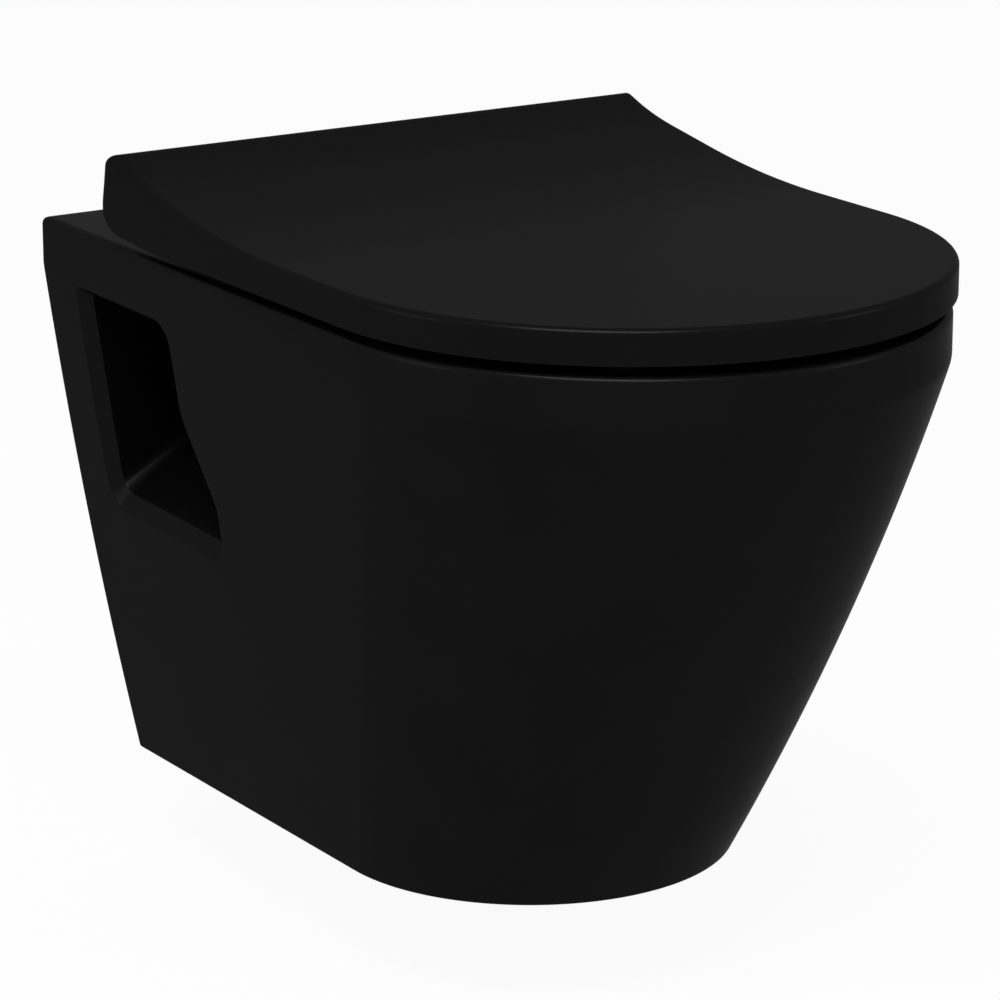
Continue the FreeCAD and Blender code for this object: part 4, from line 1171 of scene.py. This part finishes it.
def back_cut(low_x, high_x, top, corner):
    """Takes a rounded piece out of the lid's back wall, from its foot up."""
    corners = ((low_x, NOTCH_FOOT, 1.0), (high_x, NOTCH_FOOT, 1.0),
               (high_x, top, corner), (low_x, top, corner))
    outline = rounded_outline(corners, arc_steps=6, run_steps=1)
    cut(lid, prism("notch", outline, NOTCH_FRONT, NOTCH_BACK, "Y"))


inner_half = LID_HALF - LID_WALL
back_cut(-inner_half, inner_half, BACK_WALL_LEVEL, BACK_WALL_CORNER)
back_cut(-NOTCH_OUTER, -NOTCH_INNER, NOTCH_LEVEL, NOTCH_CORNER)
back_cut(NOTCH_INNER, NOTCH_OUTER, NOTCH_LEVEL, NOTCH_CORNER)

# %% Lid lugs
LID_ARM_BACK, LID_ARM_FRONT = -HINGE_OUT + LUG_RADIUS, -HINGE_OUT - LUG_RADIUS
LID_ARM_TAPER = 2.0
LID_ARM_HIGH, LID_ARM_LOW = HINGE_LEVEL + 14.0, HINGE_LEVEL + 10.0
LID_FOOT_ZONE = 0.5   # sharp edges this near the foot are rounded


def lid_arm():
    """Side view of a lid lug: an eye that hangs from the underside of the sloping top."""
    eye = arc((-HINGE_OUT, HINGE_LEVEL), LUG_RADIUS, -180, 0, EYE_STEPS)
    return eye + [Vector((LID_ARM_BACK, HINGE_LEVEL)),
                  Vector((LID_ARM_BACK - LID_ARM_TAPER, LID_ARM_HIGH)),
                  Vector((LID_ARM_FRONT, LID_ARM_LOW))]


add_lugs(lid, lid_arm(), POST_HALF + BLOCK_HALF_LENGTH + LUG_GAP, bush_side=-1)
round_edges(lid, LID_UNDER_EDGE, lambda a, b: max(a.z, b.z) < LID_FOOT + LID_FOOT_ZONE, segments=2)
shade(lid)
finish_piece(lid, "lid", "duroplast", THERMOSET, "lid")

# %% [markdown]
# ## Fittings
# The fittings are turned, moulded or stamped parts with simple true shapes, which the frame
# already holds, so they only get the materials of the slots that the record names.

# %% Materials on the frame's own pieces
made_here = {"pan", "seat_ring", "lid"}
left_over = [part for part in frame["record"]["subparts"] if part["node"] not in made_here]
for part in left_over:
    for place in frame["nodes"][part["node"]].material_slots:
        place.material = FITTINGS[part["material_slot"]]
print("fittings dressed", len(left_over))

# %% [markdown]
# ## Floor, world and lamps
# A black object is lit like a black car: the lamps are large and soft, and what counts is where
# they mirror. The floor lies as far under the pan as in a bathroom. It and the world are white to
# the camera and to mirrors but give little light, so the black stays black and the white plain.

# %% Floor and world
FLOOR_LEVEL_MM = -335.0
FLOOR_HALF_M = 9.0
FLOOR_WHITE_SHARE = 0.94
WORLD_STRENGTH = 0.42
WHITE = "#ffffff"


def white_to_eye(tree, plain, white):
    """Mixes a shader with plain white for rays from the camera, from mirrors and through glass."""
    path = add(tree, "LightPath").outputs
    seen = path["Is Camera Ray"]
    for other in ("Is Glossy Ray", "Is Transmission Ray"):
        seen = add(tree, "Math", {0: seen, 1: path[other]}, operation="MAXIMUM").outputs[0]
    return add(tree, "MixShader", {0: seen, 1: plain, 2: white})


def make_world():
    world = bpy.data.worlds.new("studio")
    tree = empty_tree(world)
    dim = add(tree, "Background", {"Color": linear(WHITE), "Strength": WORLD_STRENGTH})
    white = add(tree, "Background", {"Color": linear(WHITE), "Strength": 1.0})
    mixed = white_to_eye(tree, dim.outputs[0], white.outputs[0])
    add(tree, "OutputWorld", {"Surface": mixed.outputs[0]})
    bpy.context.scene.world = world


def make_floor():
    far = FLOOR_HALF_M / MM
    corners = [(x * far, y * far, FLOOR_LEVEL_MM) for x, y in ((-1, -1), (1, -1), (1, 1), (-1, 1))]
    floor = mesh_object("floor", corners, [(0, 1, 2, 3)])
    material = bpy.data.materials.new("white_studio_floor")
    tree = empty_tree(material)
    paint = add(tree, "BsdfDiffuse", {"Color": linear("#f4f4f4")})
    white = add(tree, "Emission", {"Color": linear(WHITE), "Strength": 1.0})
    faint = add(tree, "MixShader",
                {0: FLOOR_WHITE_SHARE, 1: paint.outputs[0], 2: white.outputs[0]})
    seen = white_to_eye(tree, paint.outputs[0], faint.outputs[0])
    add(tree, "OutputMaterial", {"Surface": seen.outputs[0]})
    floor.data.materials.append(material)


make_world()
make_floor()

# %% Lamps
CENTRE_MM = Vector((0.0, -270.0, -60.0))
LAMPS = (   # name, place in mm, width and height in metres, watts
    ("key", (-1250.0, -1540.0, 2300.0), 2.0, 0.4, 68.0),
    ("side", (-2600.0, 600.0, 500.0), 1.2, 1.2, 8.0),
    ("fill", (2200.0, -2300.0, 900.0), 1.0, 1.0, 10.0),
)


def softbox(name, place_mm, width, height, power):
    """A rectangular area lamp that looks at the middle of the pan."""
    data = bpy.data.lights.new(name, "AREA")
    data.shape = "RECTANGLE"
    data.size = width
    data.size_y = height
    data.energy = power
    set_up(name, data, Vector(place_mm), CENTRE_MM)


for lamp_sizes in LAMPS:
    softbox(*lamp_sizes)
bpy.context.scene.view_settings.view_transform = "Standard"
